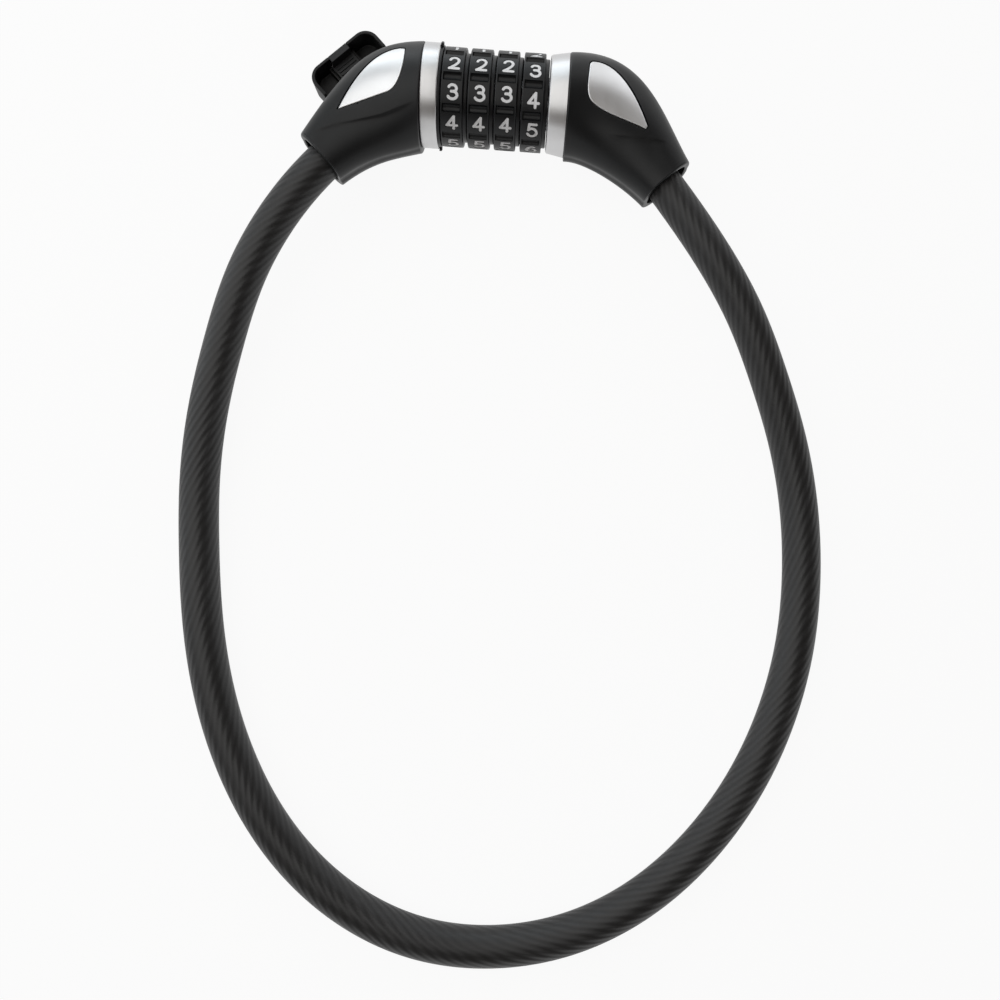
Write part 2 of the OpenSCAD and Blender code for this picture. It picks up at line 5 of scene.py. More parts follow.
import bmesh
import bpy
import numpy as np
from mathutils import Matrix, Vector


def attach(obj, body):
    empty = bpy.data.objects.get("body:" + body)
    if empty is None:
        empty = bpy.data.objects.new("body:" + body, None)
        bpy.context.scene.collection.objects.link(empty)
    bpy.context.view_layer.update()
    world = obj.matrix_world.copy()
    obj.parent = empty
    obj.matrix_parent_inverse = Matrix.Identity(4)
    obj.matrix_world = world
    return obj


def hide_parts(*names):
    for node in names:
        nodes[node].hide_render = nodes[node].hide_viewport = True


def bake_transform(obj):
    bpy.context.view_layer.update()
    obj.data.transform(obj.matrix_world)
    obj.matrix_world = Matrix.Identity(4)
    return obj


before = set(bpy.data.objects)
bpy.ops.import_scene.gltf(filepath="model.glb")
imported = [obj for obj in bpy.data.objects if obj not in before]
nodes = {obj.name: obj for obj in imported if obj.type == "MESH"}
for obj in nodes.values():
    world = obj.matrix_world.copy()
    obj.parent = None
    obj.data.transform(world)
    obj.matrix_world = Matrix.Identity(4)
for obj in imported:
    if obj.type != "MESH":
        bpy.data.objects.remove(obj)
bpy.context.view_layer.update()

mm = 0.001
headCentre = np.array([-1.56, 2.95, 17.0])  # middle of the barrel, above the ground


def addObject(name, data):
    made = bpy.data.objects.new(name, data)
    bpy.context.scene.collection.objects.link(made)
    return made


camera = {
    "place": (0.01427254, -0.13765359, 0.32234565),
    "turn": (5.10309, -1.99208, 3.5461),  # degrees
    "sensor": 36.0,
    "lens": 36.0,
    "shift": (-0.05, -0.04),
}
cameraData = bpy.data.cameras.new("camera")
cameraData.sensor_width, cameraData.lens = camera["sensor"], camera["lens"]
cameraData.shift_x, cameraData.shift_y = camera["shift"]
cameraObject = addObject("camera", cameraData)
cameraObject.location = camera["place"]
cameraObject.rotation_euler = [radians(v) for v in camera["turn"]]
bpy.context.scene.camera = cameraObject
print("camera placed")


def unit(v):
    return v / np.linalg.norm(v, axis=-1, keepdims=True)


def lengthAlong(points):
    # Length of the chords from the first point to each
    return np.concatenate([[0], np.cumsum(np.linalg.norm(np.diff(points, axis=0), axis=1))])


def drawnIn(outline, shares):
    # The outline once for each share, shrunk by it about its middle
    middle = outline.mean(0)
    return middle + (outline - middle)[None] * np.array(shares)[:, None, None]


def gridQuads(rows, cols, wrapRows=False, wrapCols=False):
    # Quads between the points i * cols + j of a grid
    i = np.arange(rows if wrapRows else rows - 1)[:, None]
    j = np.arange(cols if wrapCols else cols - 1)[None, :]
    down, right = (i + 1) % rows, (j + 1) % cols
    corners = [i * cols + j, down * cols + j, down * cols + right, i * cols + right]
    return np.stack(np.broadcast_arrays(*corners), -1).reshape(-1, 4)


def endCaps(rows, cols, first=0):
    # The first and the last ring of a grid as two faces, wound to match its quads
    return [first + np.arange(cols), first + (rows - 1) * cols + np.arange(cols)[::-1]]


def outward(points, quads, caps):
    # The volume from the origin, sum of a . (b x c) / 6, is positive where faces point outwards
    a, b, c, d = (points[quads[:, k]] for k in range(4))
    volume = np.einsum("ij,ij->", a, np.cross(b, c)) + np.einsum("ij,ij->", a, np.cross(c, d))
    for cap in caps:
        ring = points[cap]
        middle = ring.mean(0)
        volume += np.einsum("ij,ij->", np.cross(ring, np.roll(ring, -1, 0)), middle[None].repeat(len(ring), 0))
    if volume < 0:
        quads, caps = quads[:, ::-1], [cap[::-1] for cap in caps]
    return quads, caps


def shadeSmooth(mesh, sharp):
    mesh.polygons.foreach_set("use_smooth", np.ones(len(mesh.polygons), bool))
    mesh.set_sharp_from_angle(angle=radians(sharp))


def makePiece(name, points, quads, material, body=None, slot=None, stands=(), caps=(), uv=None, edge=None, sharp=32):
    points = np.asarray(points, float)
    quads, caps = outward(points, quads, [np.asarray(cap) for cap in caps])
    mesh = bpy.data.meshes.new(name)
    mesh.from_pydata((points * mm).tolist(), [], quads.tolist() + [cap.tolist() for cap in caps])
    shadeSmooth(mesh, sharp)
    if uv is not None:
        layer = mesh.uv_layers.new(name="surface")
        vertexOf = np.zeros(len(mesh.loops), np.int32)
        mesh.loops.foreach_get("vertex_index", vertexOf)
        corners = uv[vertexOf]
        turns = corners[: quads.size, 0].reshape(-1, 4)
        turns[(np.ptp(turns, axis=1) > 0.5)[:, None] & (turns < 0.5)] += 1  # the quads that cross the seam
        corners[: quads.size, 0] = turns.ravel()
        layer.data.foreach_set("uv", corners.astype(np.float32).ravel())
    if edge is not None:
        values = mesh.attributes.new("edge", "FLOAT", "POINT").data
        values.foreach_set("value", edge.astype(np.float32))
    mesh.materials.append(material)
    mesh.update()
    piece = addObject(name, mesh)
    if body:
        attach(piece, body)
    if stands:
        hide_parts(*stands)
    return piece


def smoothPath(points, count):
    # Cubic spline with natural ends through the points, at equal steps of chord length
    points = np.asarray(points, float)
    s = lengthAlong(points)
    h = np.diff(s)
    n = len(points)
    system, rhs = np.eye(n), np.zeros_like(points)
    inner = np.arange(1, n - 1)
    system[inner, inner - 1] = h[:-1]
    system[inner, inner] = 2 * (h[:-1] + h[1:])
    system[inner, inner + 1] = h[1:]
    rise = np.diff(points, axis=0)
    rhs[1:-1] = 6 * (rise[1:] / h[1:, None] - rise[:-1] / h[:-1, None])
    bend = np.linalg.solve(system, rhs)
    at = np.linspace(0, s[-1], count)
    k = np.clip(np.searchsorted(s, at, side="right") - 1, 0, n - 2)
    left, right, step = (at - s[k])[:, None], (s[k + 1] - at)[:, None], h[k][:, None]
    return (
        (bend[k] * right**3 + bend[k + 1] * left**3) / (6 * step)
        + (points[k] / step - bend[k] * step / 6) * right
        + (points[k + 1] / step - bend[k + 1] * step / 6) * left
    )


def softCorners(corners, radii, steps=4):
    # A closed outline whose corners are round: arc about the point at r / sin(half angle) from the corner
    corners = np.asarray(corners, float)
    outline = []
    for p, before, after, r in zip(corners, np.roll(corners, 1, 0), np.roll(corners, -1, 0), radii):
        a, b = unit(before - p), unit(after - p)
        half = np.arccos(np.clip(a @ b, -1, 1)) / 2
        if r == 0:
            outline.append(p[None])
            continue
        middle = p + unit(a + b) * r / np.sin(half)
        start, end = p + a * r / np.tan(half) - middle, p + b * r / np.tan(half) - middle
        x = np.linspace(0, 1, steps + 1)[:, None]
        turn = np.pi - 2 * half
        outline.append(middle + (start * np.sin((1 - x) * turn) + end * np.sin(x * turn)) / np.sin(turn))
    return np.concatenate(outline)


def aroundBarrel(u, r, angle):
    # (u, r sin a, r cos a): the angle runs from straight up towards +Y
    u, r, angle = np.broadcast_arrays(u, r, angle)
    return np.stack([u, r * np.sin(angle), r * np.cos(angle)], -1) + headCentre


def lathe(name, profile, material, cols=256, **ties):
    # A closed profile of (u, r) turned round the barrel's axis
    angle = np.linspace(0, 2 * np.pi, cols, endpoint=False)
    points = aroundBarrel(profile[:, 0, None], profile[:, 1, None], angle[None]).reshape(-1, 3)
    return makePiece(name, points, gridQuads(len(profile), cols, True, True), material, **ties)


def nodeGroup(name, inputs, outputs):
    # A group that takes a vector and numbers, and gives numbers
    group = bpy.data.node_groups.new(name, "ShaderNodeTree")
    group.interface.new_socket("Vector", in_out="INPUT", socket_type="NodeSocketVector")
    for label, value in inputs.items():
        group.interface.new_socket(label, in_out="INPUT", socket_type="NodeSocketFloat").default_value = value
    for label in outputs:
        group.interface.new_socket(label, in_out="OUTPUT", socket_type="NodeSocketFloat")
    return group, group.nodes.new("NodeGroupInput"), group.nodes.new("NodeGroupOutput")


def giveOut(group, out, **values):
    for label, value in values.items():
        group.links.new(value, out.inputs[label])
    return group


def addNode(tree, kind, values=None, **settings):
    node = tree.nodes.new(kind)
    for key, value in settings.items():
        setattr(node, key, value)
    for key, value in (values or {}).items():
        node.inputs[key].default_value = value
    return node


def mathNode(tree, operation, a, b=None, c=None, clamp=False):
    node = addNode(tree, "ShaderNodeMath", operation=operation, use_clamp=clamp)
    for k, value in enumerate((a, b, c)):
        if value is None:
            continue
        if isinstance(value, (int, float)):
            node.inputs[k].default_value = value
        else:
            tree.links.new(value, node.inputs[k])
    return node.outputs[0]


def partsOf(tree, vector):
    split = addNode(tree, "ShaderNodeSeparateXYZ")
    tree.links.new(vector, split.inputs["Vector"])
    return split.outputs


def groupNoise(group, given, scale, vector=None, **values):
    # Noise over the group's own vector, or over another, at the scale that the named input gives
    noise = addNode(group, "ShaderNodeTexNoise", values)
    group.links.new(given.outputs["Vector"] if vector is None else vector, noise.inputs["Vector"])
    group.links.new(given.outputs[scale], noise.inputs["Scale"])
    return noise.outputs["Fac"]


def buildGrain():
    # Fine moulded grain: a height, a mask of its pits, and a slow cloud
    group, given, out = nodeGroup("fineGrain", {"Scale": 2500.0, "Variation": 40.0}, ["Height", "Pits", "Cloud"])
    fine = groupNoise(group, given, "Scale", Detail=2.0, Roughness=0.6)
    cloud = groupNoise(group, given, "Variation", Detail=3.0, Roughness=0.55)
    pits = mathNode(group, "MULTIPLY_ADD", fine, 4.0, -1.9, clamp=True)
    cloud = mathNode(group, "MULTIPLY_ADD", cloud, 3.0, -1.0, clamp=True)
    return giveOut(group, out, Height=fine, Pits=pits, Cloud=cloud)


def buildEdgeWear():
    # Rubbed edges: the piece's own edge attribute, broken up by noise
    group, given, out = nodeGroup("edgeWear", {"Scale": 700.0, "Amount": 0.6}, ["Wear"])
    edge = addNode(group, "ShaderNodeAttribute", attribute_name="edge").outputs["Fac"]
    noise = groupNoise(group, given, "Scale", Detail=4.0, Roughness=0.65)
    broken = mathNode(group, "MULTIPLY_ADD", noise, 3.2, -1.15, clamp=True)
    worn = mathNode(group, "MULTIPLY", mathNode(group, "MULTIPLY", edge, broken), given.outputs["Amount"], clamp=True)
    return giveOut(group, out, Wear=worn)


def buildTurning():
    # Lathe lines round the X axis: noise along X alone, with a slow wander
    group, given, out = nodeGroup("turnedLines", {"Scale": 9000.0}, ["Lines", "Bands"])
    x = partsOf(group, given.outputs["Vector"])["X"]
    found = {}
    for label, share in (("Lines", 1.0), ("Bands", 0.12)):
        noise = addNode(
            group, "ShaderNodeTexNoise", {"Detail": 3.0, "Roughness": 0.7, "Scale": 1.0}, noise_dimensions="1D",
        )
        scale = mathNode(group, "MULTIPLY", given.outputs["Scale"], share)
        group.links.new(mathNode(group, "MULTIPLY", x, scale), noise.inputs["W"])
        found[label] = noise.outputs["Fac"]
    return giveOut(group, out, **found)


def buildScratches():
    # Hairline scratches: thin bands where a stretched noise passes its middle value
    group, given, out = nodeGroup("hairScratches", {"Scale": 160.0, "Thinness": 60.0}, ["Scratch"])
    lines = []
    for turn in (0.5, 2.1):
        mapping = addNode(group, "ShaderNodeMapping", {"Rotation": (0.3, 0.2, turn), "Scale": (1.0, 0.06, 1.0)})
        group.links.new(given.outputs["Vector"], mapping.inputs["Vector"])
        stretched = mapping.outputs["Vector"]
        noise = groupNoise(group, given, "Scale", stretched, Detail=1.0, Roughness=0.5, Distortion=0.2)
        away = mathNode(group, "ABSOLUTE", mathNode(group, "SUBTRACT", noise, 0.5))
        wide = mathNode(group, "MULTIPLY", away, given.outputs["Thinness"])
        lines.append(mathNode(group, "SUBTRACT", 1.0, wide, clamp=True))
    return giveOut(group, out, Scratch=mathNode(group, "MAXIMUM", *lines))


grainGroup, wearGroup = buildGrain(), buildEdgeWear()
turningGroup, scratchGroup = buildTurning(), buildScratches()


def useGroup(tree, group, vector, **values):
    node = addNode(tree, "ShaderNodeGroup", node_tree=group)
    tree.links.new(vector, node.inputs["Vector"])
    for key, value in values.items():
        node.inputs[key].default_value = value
    return node.outputs


def startMaterial(name, **sockets):
    material = bpy.data.materials.new(name)
    material.use_nodes = True
    tree = material.node_tree
    shader = tree.nodes["Principled BSDF"]
    for key, value in sockets.items():
        shader.inputs[key].default_value = value
    return material, tree, shader, addNode(tree, "ShaderNodeTexCoord").outputs["Object"]


def mixColours(tree, factor, a, b):
    node = addNode(tree, "ShaderNodeMix", data_type="RGBA")
    tree.links.new(factor, node.inputs["Factor"])
    for socket, value in (("A", a), ("B", b)):
        target = [s for s in node.inputs if s.name == socket and s.type == "RGBA"][0]
        if isinstance(value, tuple):
            target.default_value = (*value, 1)
        else:
            tree.links.new(value, target)
    return [s for s in node.outputs if s.type == "RGBA"][0]


def spread(tree, value, low, high):
    # A mask of 0 to 1 as a range of roughness
    return mathNode(tree, "MULTIPLY_ADD", value, high - low, low)


def addBump(tree, shader, height, strength, distance):
    bump = addNode(tree, "ShaderNodeBump", {"Strength": strength, "Distance": distance})
    tree.links.new(height, bump.inputs["Height"])
    tree.links.new(bump.outputs["Normal"], shader.inputs["Normal"])


def plastic(name, colour, light, rough, grain, depth, wear=0.5, **sockets):
    # Moulded plastic: grain in the normal, cloudy handling marks in the gloss, paler rubbed edges
    material, tree, shader, place = startMaterial(name, **sockets)
    fine = useGroup(tree, grainGroup, place, Scale=grain, Variation=45.0)
    worn = useGroup(tree, wearGroup, place, Amount=wear)["Wear"]
    speckled = mixColours(tree, mathNode(tree, "MULTIPLY", fine["Pits"], 0.5), colour, tuple(0.55 * c for c in colour))
    tree.links.new(mixColours(tree, worn, speckled, light), shader.inputs["Base Color"])
    gloss = mathNode(tree, "SUBTRACT", spread(tree, fine["Cloud"], *rough), mathNode(tree, "MULTIPLY", worn, 0.12))
    tree.links.new(gloss, shader.inputs["Roughness"])
    addBump(tree, shader, fine["Height"], 0.5, depth)
    return material


def metal(name, colour, dark, rough, grain=3500.0, depth=0.00001, turned=0.0, scratch=0.3, **sockets):
    # Bare or plated metal: grain, faint scratches, and lathe lines where it was turned
    material, tree, shader, place = startMaterial(name, Metallic=1.0, **sockets)
    fine = useGroup(tree, grainGroup, place, Scale=grain, Variation=70.0)
    hair = useGroup(tree, scratchGroup, place)["Scratch"]
    tint = mathNode(tree, "MULTIPLY", fine["Cloud"], 0.6)
    height = fine["Height"]
    gloss = spread(tree, fine["Cloud"], *rough)
    if turned:
        lines = useGroup(tree, turningGroup, place)
        height = mathNode(tree, "MULTIPLY_ADD", lines["Lines"], turned, height)
        gloss = mathNode(tree, "MULTIPLY_ADD", lines["Bands"], 0.12, mathNode(tree, "SUBTRACT", gloss, 0.06))
    tree.links.new(mixColours(tree, tint, colour, dark), shader.inputs["Base Color"])
    tree.links.new(mathNode(tree, "MULTIPLY_ADD", hair, -0.1 * scratch, gloss), shader.inputs["Roughness"])
    addBump(tree, shader, mathNode(tree, "MULTIPLY_ADD", hair, -scratch, height), 0.35, depth)
    return material


# name, colour, colour of its rubbed edges, least and most roughness, grain's scale, its depth, wear
blackGloss = {"Specular IOR Level": 0.32}
housingPlastic = plastic(
    "housingPlastic", (0.0030, 0.0036, 0.0042), (0.024, 0.026, 0.028), (0.36, 0.5), 2600.0, 0.00003, 0.45, **blackGloss,
)
dialPlastic = plastic(
    "dialPlastic", (0.0028, 0.0033, 0.0042), (0.028, 0.03, 0.033), (0.34, 0.46), 2900.0, 0.00005, 0.45, **blackGloss,
)
bracketPlastic = plastic(
    "bracketPlastic", (0.0035, 0.0037, 0.004), (0.022, 0.022, 0.024), (0.4, 0.54), 2000.0, 0.00003, 0.4, **blackGloss,
)
latchPlastic = plastic(
    "latchPlastic", (0.018, 0.019, 0.02), (0.05, 0.052, 0.055), (0.4, 0.55), 2000.0, 0.00003, 0.4, **blackGloss,
)
bushRubber = plastic("bushRubber", (0.008, 0.008, 0.0085), (0.03, 0.03, 0.03), (0.28, 0.4), 1600.0, 0.00003, 0.2)
digitPaint = plastic("digitPaint", (0.84, 0.85, 0.87), (0.66, 0.66, 0.68), (0.45, 0.6), 2600.0, 0.00001, 0.0)
# name, colour, colour of its clouds, least and most roughness
satinRing = metal("satinRing", (0.60, 0.60, 0.605), (0.55, 0.545, 0.54), (0.34, 0.42), turned=1.6, scratch=0.2)
silverInsert = metal(
    "silverInsert", (0.74, 0.75, 0.76), (0.69, 0.69, 0.69), (0.36, 0.44), grain=4200.0, depth=0.000008, scratch=0.25,
)
zincCasting = metal("zincCasting", (0.55, 0.56, 0.58), (0.42, 0.43, 0.45), (0.38, 0.55), grain=1400.0, depth=0.00003)
springSteel = metal("springSteel", (0.6, 0.61, 0.62), (0.48, 0.48, 0.5), (0.25, 0.36), scratch=0.6)
darkSteel = metal("darkSteel", (0.16, 0.165, 0.17), (0.09, 0.09, 0.095), (0.35, 0.5))
platedSteel = metal("platedSteel", (0.66, 0.67, 0.68), (0.55, 0.56, 0.58), (0.26, 0.38))
sleeveBrass = metal("sleeveBrass", (0.72, 0.52, 0.22), (0.55, 0.38, 0.15), (0.3, 0.42), turned=1.0)


def sheathMaterial():
    # Smoked sheath over a laid rope: with UV (turn, length in metres), length / pitch + wires * turn
    # stays the same along a wire
    material, tree, shader, place = startMaterial("sheathPlastic", **{"Specular IOR Level": 0.5})
    split = partsOf(tree, addNode(tree, "ShaderNodeUVMap", uv_map="surface").outputs["UV"])
    fine = useGroup(tree, grainGroup, place, Scale=1500.0, Variation=28.0)
    around = mathNode(tree, "MULTIPLY", split["X"], float(cable["wires"]))
    phase = mathNode(tree, "MULTIPLY_ADD", split["Y"], 1 / cable["wirePitch"], around)
    wander = mathNode(tree, "MULTIPLY_ADD", fine["Cloud"], 0.5, phase)
    wave = mathNode(tree, "SINE", mathNode(tree, "MULTIPLY", wander, 2 * np.pi))
    wave = mathNode(tree, "MULTIPLY_ADD", wave, 0.5, 0.5)
    shown = mathNode(tree, "MULTIPLY", wave, spread(tree, fine["Cloud"], 0.3, 1.0))
    tree.links.new(mixColours(tree, shown, cable["dark"], cable["pale"]), shader.inputs["Base Color"])
    tree.links.new(spread(tree, fine["Cloud"], 0.4, 0.5), shader.inputs["Roughness"])
    height = mathNode(tree, "ADD", shown, mathNode(tree, "MULTIPLY", fine["Height"], 0.2))
    addBump(tree, shader, height, 0.8, cable["relief"])
    return material


cable = {
    "radius": 6.0,
    "wires": 18,
    "wirePitch": 4.4 * mm,
    "dark": (0.004, 0.004, 0.0042),
    "pale": (0.02, 0.02, 0.021),
    "relief": 0.00013,
    "steps": 420,
    "sides": 40,
    "route": [
        [50.44, -16.45, 17], [59.25, -27.33, 17], [70, -41.5, 16.6], [81.5, -59, 14.5], [91.11, -78.95, 11.4],
        [98.64, -98.45, 8.4], [103.7, -119.97, 6.4], [105.35, -142, 6], [104.13, -162.04, 6],
        [99.81, -182.09, 6], [91.4, -203.21, 6], [78.41, -223.33, 6], [61.35, -240.25, 6], [39.73, -252.59, 6],
        [14.04, -258.18, 6], [-9.1, -256.24, 6], [-31.13, -247.01, 6], [-51.04, -230.43, 6],
        [-65.5, -209.8, 6], [-74.95, -187.98, 6], [-80.43, -166.97, 6], [-83.93, -142.97, 6],
        [-85.45, -120, 6.9], [-84.05, -99.05, 9.1], [-80.18, -78.07, 12.1], [-73.92, -56.11, 15.4],
        [-68, -43, 16.6], [-58.37, -27.43, 17], [-49.56, -16.55, 17],
    ],
}


def makeCable():
    # centre(s) + r (cos a side + sin a up): side is tangent x Z, up is side x tangent
    centre = smoothPath(cable["route"], cable["steps"])
    centre[:, 2] = np.maximum(centre[:, 2], cable["radius"])
    tangent = unit(np.gradient(centre, axis=0))
    side = unit(np.cross(tangent, [0, 0, 1.0]))
    up = np.cross(side, tangent)
    s = lengthAlong(centre)
    cols, r = cable["sides"], cable["radius"]
    turn = np.arange(cols) / cols
    a = 2 * np.pi * turn - np.pi / 2
    points = centre[:, None] + r * (np.cos(a)[:, None] * side[:, None] + np.sin(a)[:, None] * up[:, None])
    piece = makePiece(
        "cable", points.reshape(-1, 3), gridQuads(len(centre), cols, wrapCols=True), sheathMaterial(),
        slot="cable_sheath", stands=("cable_sheath", "cable_core"), caps=endCaps(len(centre), cols),
        uv=np.stack(np.broadcast_arrays(turn[None], s[:, None] * mm), -1).reshape(-1, 2),
    )
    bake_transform(piece)
    print(f"cable made, {s[-1]:.0f} mm long")


makeCable()


housing = {
    "mouthHalf": 9.5,  # half thickness at the cable's mouth
    "swell": 1.6,  # power of its growth towards the ring
    "squareness": 0.6,
    "wall": 2.0,
    "bulkhead": 2.0,
    "ringRound": 0.45,
    "mouthRound": 0.6,
    "innerRound": 0.35,
    "endShare": 0.010,  # share of the length that the round edge of each end takes
    "recess": 1.0,
    "insertGap": 0.28,
    "seamDepth": 0.28,
    "seamWidth": 1.6,
    "creaseReach": 5,
    "creaseEdge": 0.6,
    "creaseFade": 6,
    "rows": 230,
    "cols": 236,
    "crowding": 0.65,  # how much closer the columns stand by the mould seam
}
leftSide = {
    "outer": [[-22, 15.8], [-39.5, 15.6], [-46.2, 6.9], [-59, -17.3]],
    "inner": [[-22, -17.6], [-29.5, -20.7], [-35.7, -20.8], [-45.7, -29.7]],
    "lip": 16.7,
    "turn": -1,
    "hole": 12.0,
    "insert": [
        [[-47, -10.9], [-43.5, -2], [-37.5, 9.5], [-28.5, 9.5]],
        [[-27.2, 9], [-26.9, 5], [-26.8, -3.5], [-31, -5.7]],
        [[-31.4, -5.9], [-35, -6.9], [-41, -8.9], [-46.5, -11]],
    ],
    "crease": [[-55.2, -18.4], [-45.8, -15.2], [-33.1, -12.2], [-22.5, -8.4]],
    "creaseDepth": 0.55,
    "posts": [[-27.5, 11.6], [-28, -13.4]],
}
rightSide = {
    "outer": [[23.05, 15.9], [47.5, 19.7], [53.6, -2.5], [62.8, -17.1]],
    "inner": [[23.05, -17], [29.1, -16.9], [41.3, -22.9], [49, -30]],
    "lip": 16.25,
    "turn": 1,
    "hole": 8.0,
    "insert": [
        [[29.6, 9.4], [36.5, 11.5], [43.5, 2.5], [48.6, -9.8]],
        [[47.6, -10.5], [42, -8.4], [36, -7.8], [31.2, -5.2]],
        [[30.9, -5], [27.6, -3.2], [28.6, 1.5], [28.9, 8.8]],
    ],
    "crease": [[35.8, -12.7], [44, -13.2], [55.1, -13.1]],
    "creaseDepth": 0.4,
    "posts": [[30, 11.6], [30, -13]],
}
slant = np.sqrt(0.5)  # sine and cosine of the slide's 45 degrees
shoeFrame = {"mid": -25.15, "landHalf": 14.05, "landNear": 21.0, "landLevel": -10.8, "landFloor": -9.2}
well = {"radius": 2.4, "floor": -5.65, "wall": 1.0}


def cubic(p, t):
    # (1-t)^3 a + 3 (1-t)^2 t b + 3 (1-t) t^2 c + t^3 d
    p, t = np.asarray(p, float), np.asarray(t, float)[..., None]
    return (1 - t) ** 3 * p[0] + 3 * (1 - t) ** 2 * t * p[1] + 3 * (1 - t) * t * t * p[2] + t**3 * p[3]


def signedPower(v, e):
    return np.sign(v) * np.abs(v) ** e


def smoothStep(x):
    x = np.clip(x, 0, 1)
    return x * x * (3 - 2 * x)


def section(side, t, a, inset):
    # Middle of the edges + arm cos^e, half thickness sin^e; e falls below 1 as the section squares up
    t, a, inset = np.broadcast_arrays(np.asarray(t, float), a, inset)
    outer, inner = cubic(side["outer"], t), cubic(side["inner"], t)
    across = outer - inner
    length = np.linalg.norm(across, axis=-1)
    mouth = housing["mouthHalf"]
    thick = mouth + (side["lip"] - mouth) * np.maximum(0, 1 - t) ** housing["swell"]
    e = 2 / (2 + housing["squareness"] * smoothStep(t))
    arm = signedPower(np.cos(a), e) * (length / 2 - inset) / length
    flat = (outer + inner) / 2 + across * arm[..., None]
    return np.concatenate([flat, ((thick - inset) * signedPower(np.sin(a), e))[..., None]], -1)


def solveSection(side, flat, t, a, steps=4):
    # Newton's steps to the (t, a) whose section passes over the point (u, v)
    h = 1e-5
    for _ in range(steps):
        here = section(side, t, a, 0)[..., :2]
        byT = (section(side, t + h, a, 0)[..., :2] - here) / h
        byA = (section(side, t, a + h, 0)[..., :2] - here) / h
        miss = flat - here
        det = byT[..., 0] * byA[..., 1] - byT[..., 1] * byA[..., 0]
        det = np.where(np.abs(det) < 1e-6, 1e-6, det)
        t = t + np.clip((miss[..., 0] * byA[..., 1] - miss[..., 1] * byA[..., 0]) / det, -0.1, 0.1)
        a = a + np.clip((byT[..., 0] * miss[..., 1] - byT[..., 1] * miss[..., 0]) / det, -0.2, 0.2)
    return t, a


def closedOutline(edges, count=240):
    # The insert's outline at equal steps
    t = np.linspace(0, 1, 60, endpoint=False)
    points = np.concatenate([cubic(edge, t) for edge in edges])
    loop = np.concatenate([points, points[:1]])
    s = lengthAlong(loop)
    at = np.linspace(0, s[-1], count, endpoint=False)
    return np.stack([np.interp(at, s, loop[:, k]) for k in range(2)], -1)


def outlineDistance(flat, outline):
    # Distance to the outline, negative inside it; far points keep a round 9
    shape = flat.shape[:-1]
    p = flat.reshape(-1, 2)
    near = np.all((p > outline.min(0) - 2) & (p < outline.max(0) + 2), axis=1)
    found = np.full(len(p), 9.0)
    a, b = outline, np.roll(outline, -1, 0)
    ab = b - a
    for part in np.array_split(np.nonzero(near)[0], max(1, near.sum() // 4000)):
        q = p[part][:, None]
        along = np.clip(np.einsum("ijk,jk->ij", q - a, ab) / np.einsum("jk,jk->j", ab, ab), 0, 1)
        apart = np.linalg.norm(q - a - along[..., None] * ab, axis=-1).min(1)
        above = (a[:, 1] > q[..., 1]) != (b[:, 1] > q[..., 1])
        slope = np.where(ab[:, 1] == 0, 1e-9, ab[:, 1])
        crossing = above & (q[..., 0] < a[:, 0] + (q[..., 1] - a[:, 1]) * ab[:, 0] / slope)
        found[part] = np.where(crossing.sum(1) % 2 == 1, -apart, apart)
    return found.reshape(shape)


def shoeFlat(flat):
    # The bracket's own directions: x across the slide, y along it
    return (flat[..., 0] + flat[..., 1]) * slant - shoeFrame["mid"], (flat[..., 1] - flat[..., 0]) * slant


def landDistance(flat, grow=0.0):
    x, y = shoeFlat(flat)
    return np.maximum(np.abs(x) - shoeFrame["landHalf"] - grow, shoeFrame["landNear"] - y)


def slopeOf(distance, flat, d, h=1e-3):
    return np.stack([(distance(flat + [h, 0]) - d) / h, (distance(flat + [0, h]) - d) / h], -1)


def gather(side, t, a, distance, reach=0.6, lip=0.03):
    # Draws grid points near an outline onto both its sides, so that its wall is clean:
    # the distance d becomes lip + (d / reach)^3 (reach - lip)
    flat = section(side, t, a, 0)[..., :2]
    d = distance(flat)
    slope = slopeOf(distance, flat, d)
    wanted = np.sign(d) * (lip + (np.abs(d) / reach) ** 3 * (reach - lip))
    move = np.where(np.abs(d) < reach, wanted - d, 0)[..., None] * slope
    newT, newA = solveSection(side, flat + move, t, a, 3)
    close = (np.abs(d) < reach) & (np.abs(newT - t) < 0.03) & (np.abs(newA - a) < 0.06)
    return np.where(close, newT, t), np.where(close, newA, a)


def creaseInset(side, flat, a):
    # Below the crease the surface dips by depth e^(d / reach) (1 - e^(d / edge)), d being the height above it
    line = np.array(side["crease"])
    d = np.minimum(flat[..., 1] - np.interp(flat[..., 0], line[:, 0], line[:, 1]), 0)
    fade = housing["creaseFade"]
    ends = smoothStep((flat[..., 0] - line[0, 0]) / fade) * smoothStep((line[-1, 0] - flat[..., 0]) / fade)
    dip = side["creaseDepth"] * np.exp(d / housing["creaseReach"]) * (1 - np.exp(d / housing["creaseEdge"]))
    return dip * ends * smoothStep(np.sin(a) * 2 - 0.6)


def raiseWithin(points, distance, level):
    # Points within the outline come up to at least the level
    points[..., 2] = np.maximum(points[..., 2], np.where(distance < 0, level, -99))


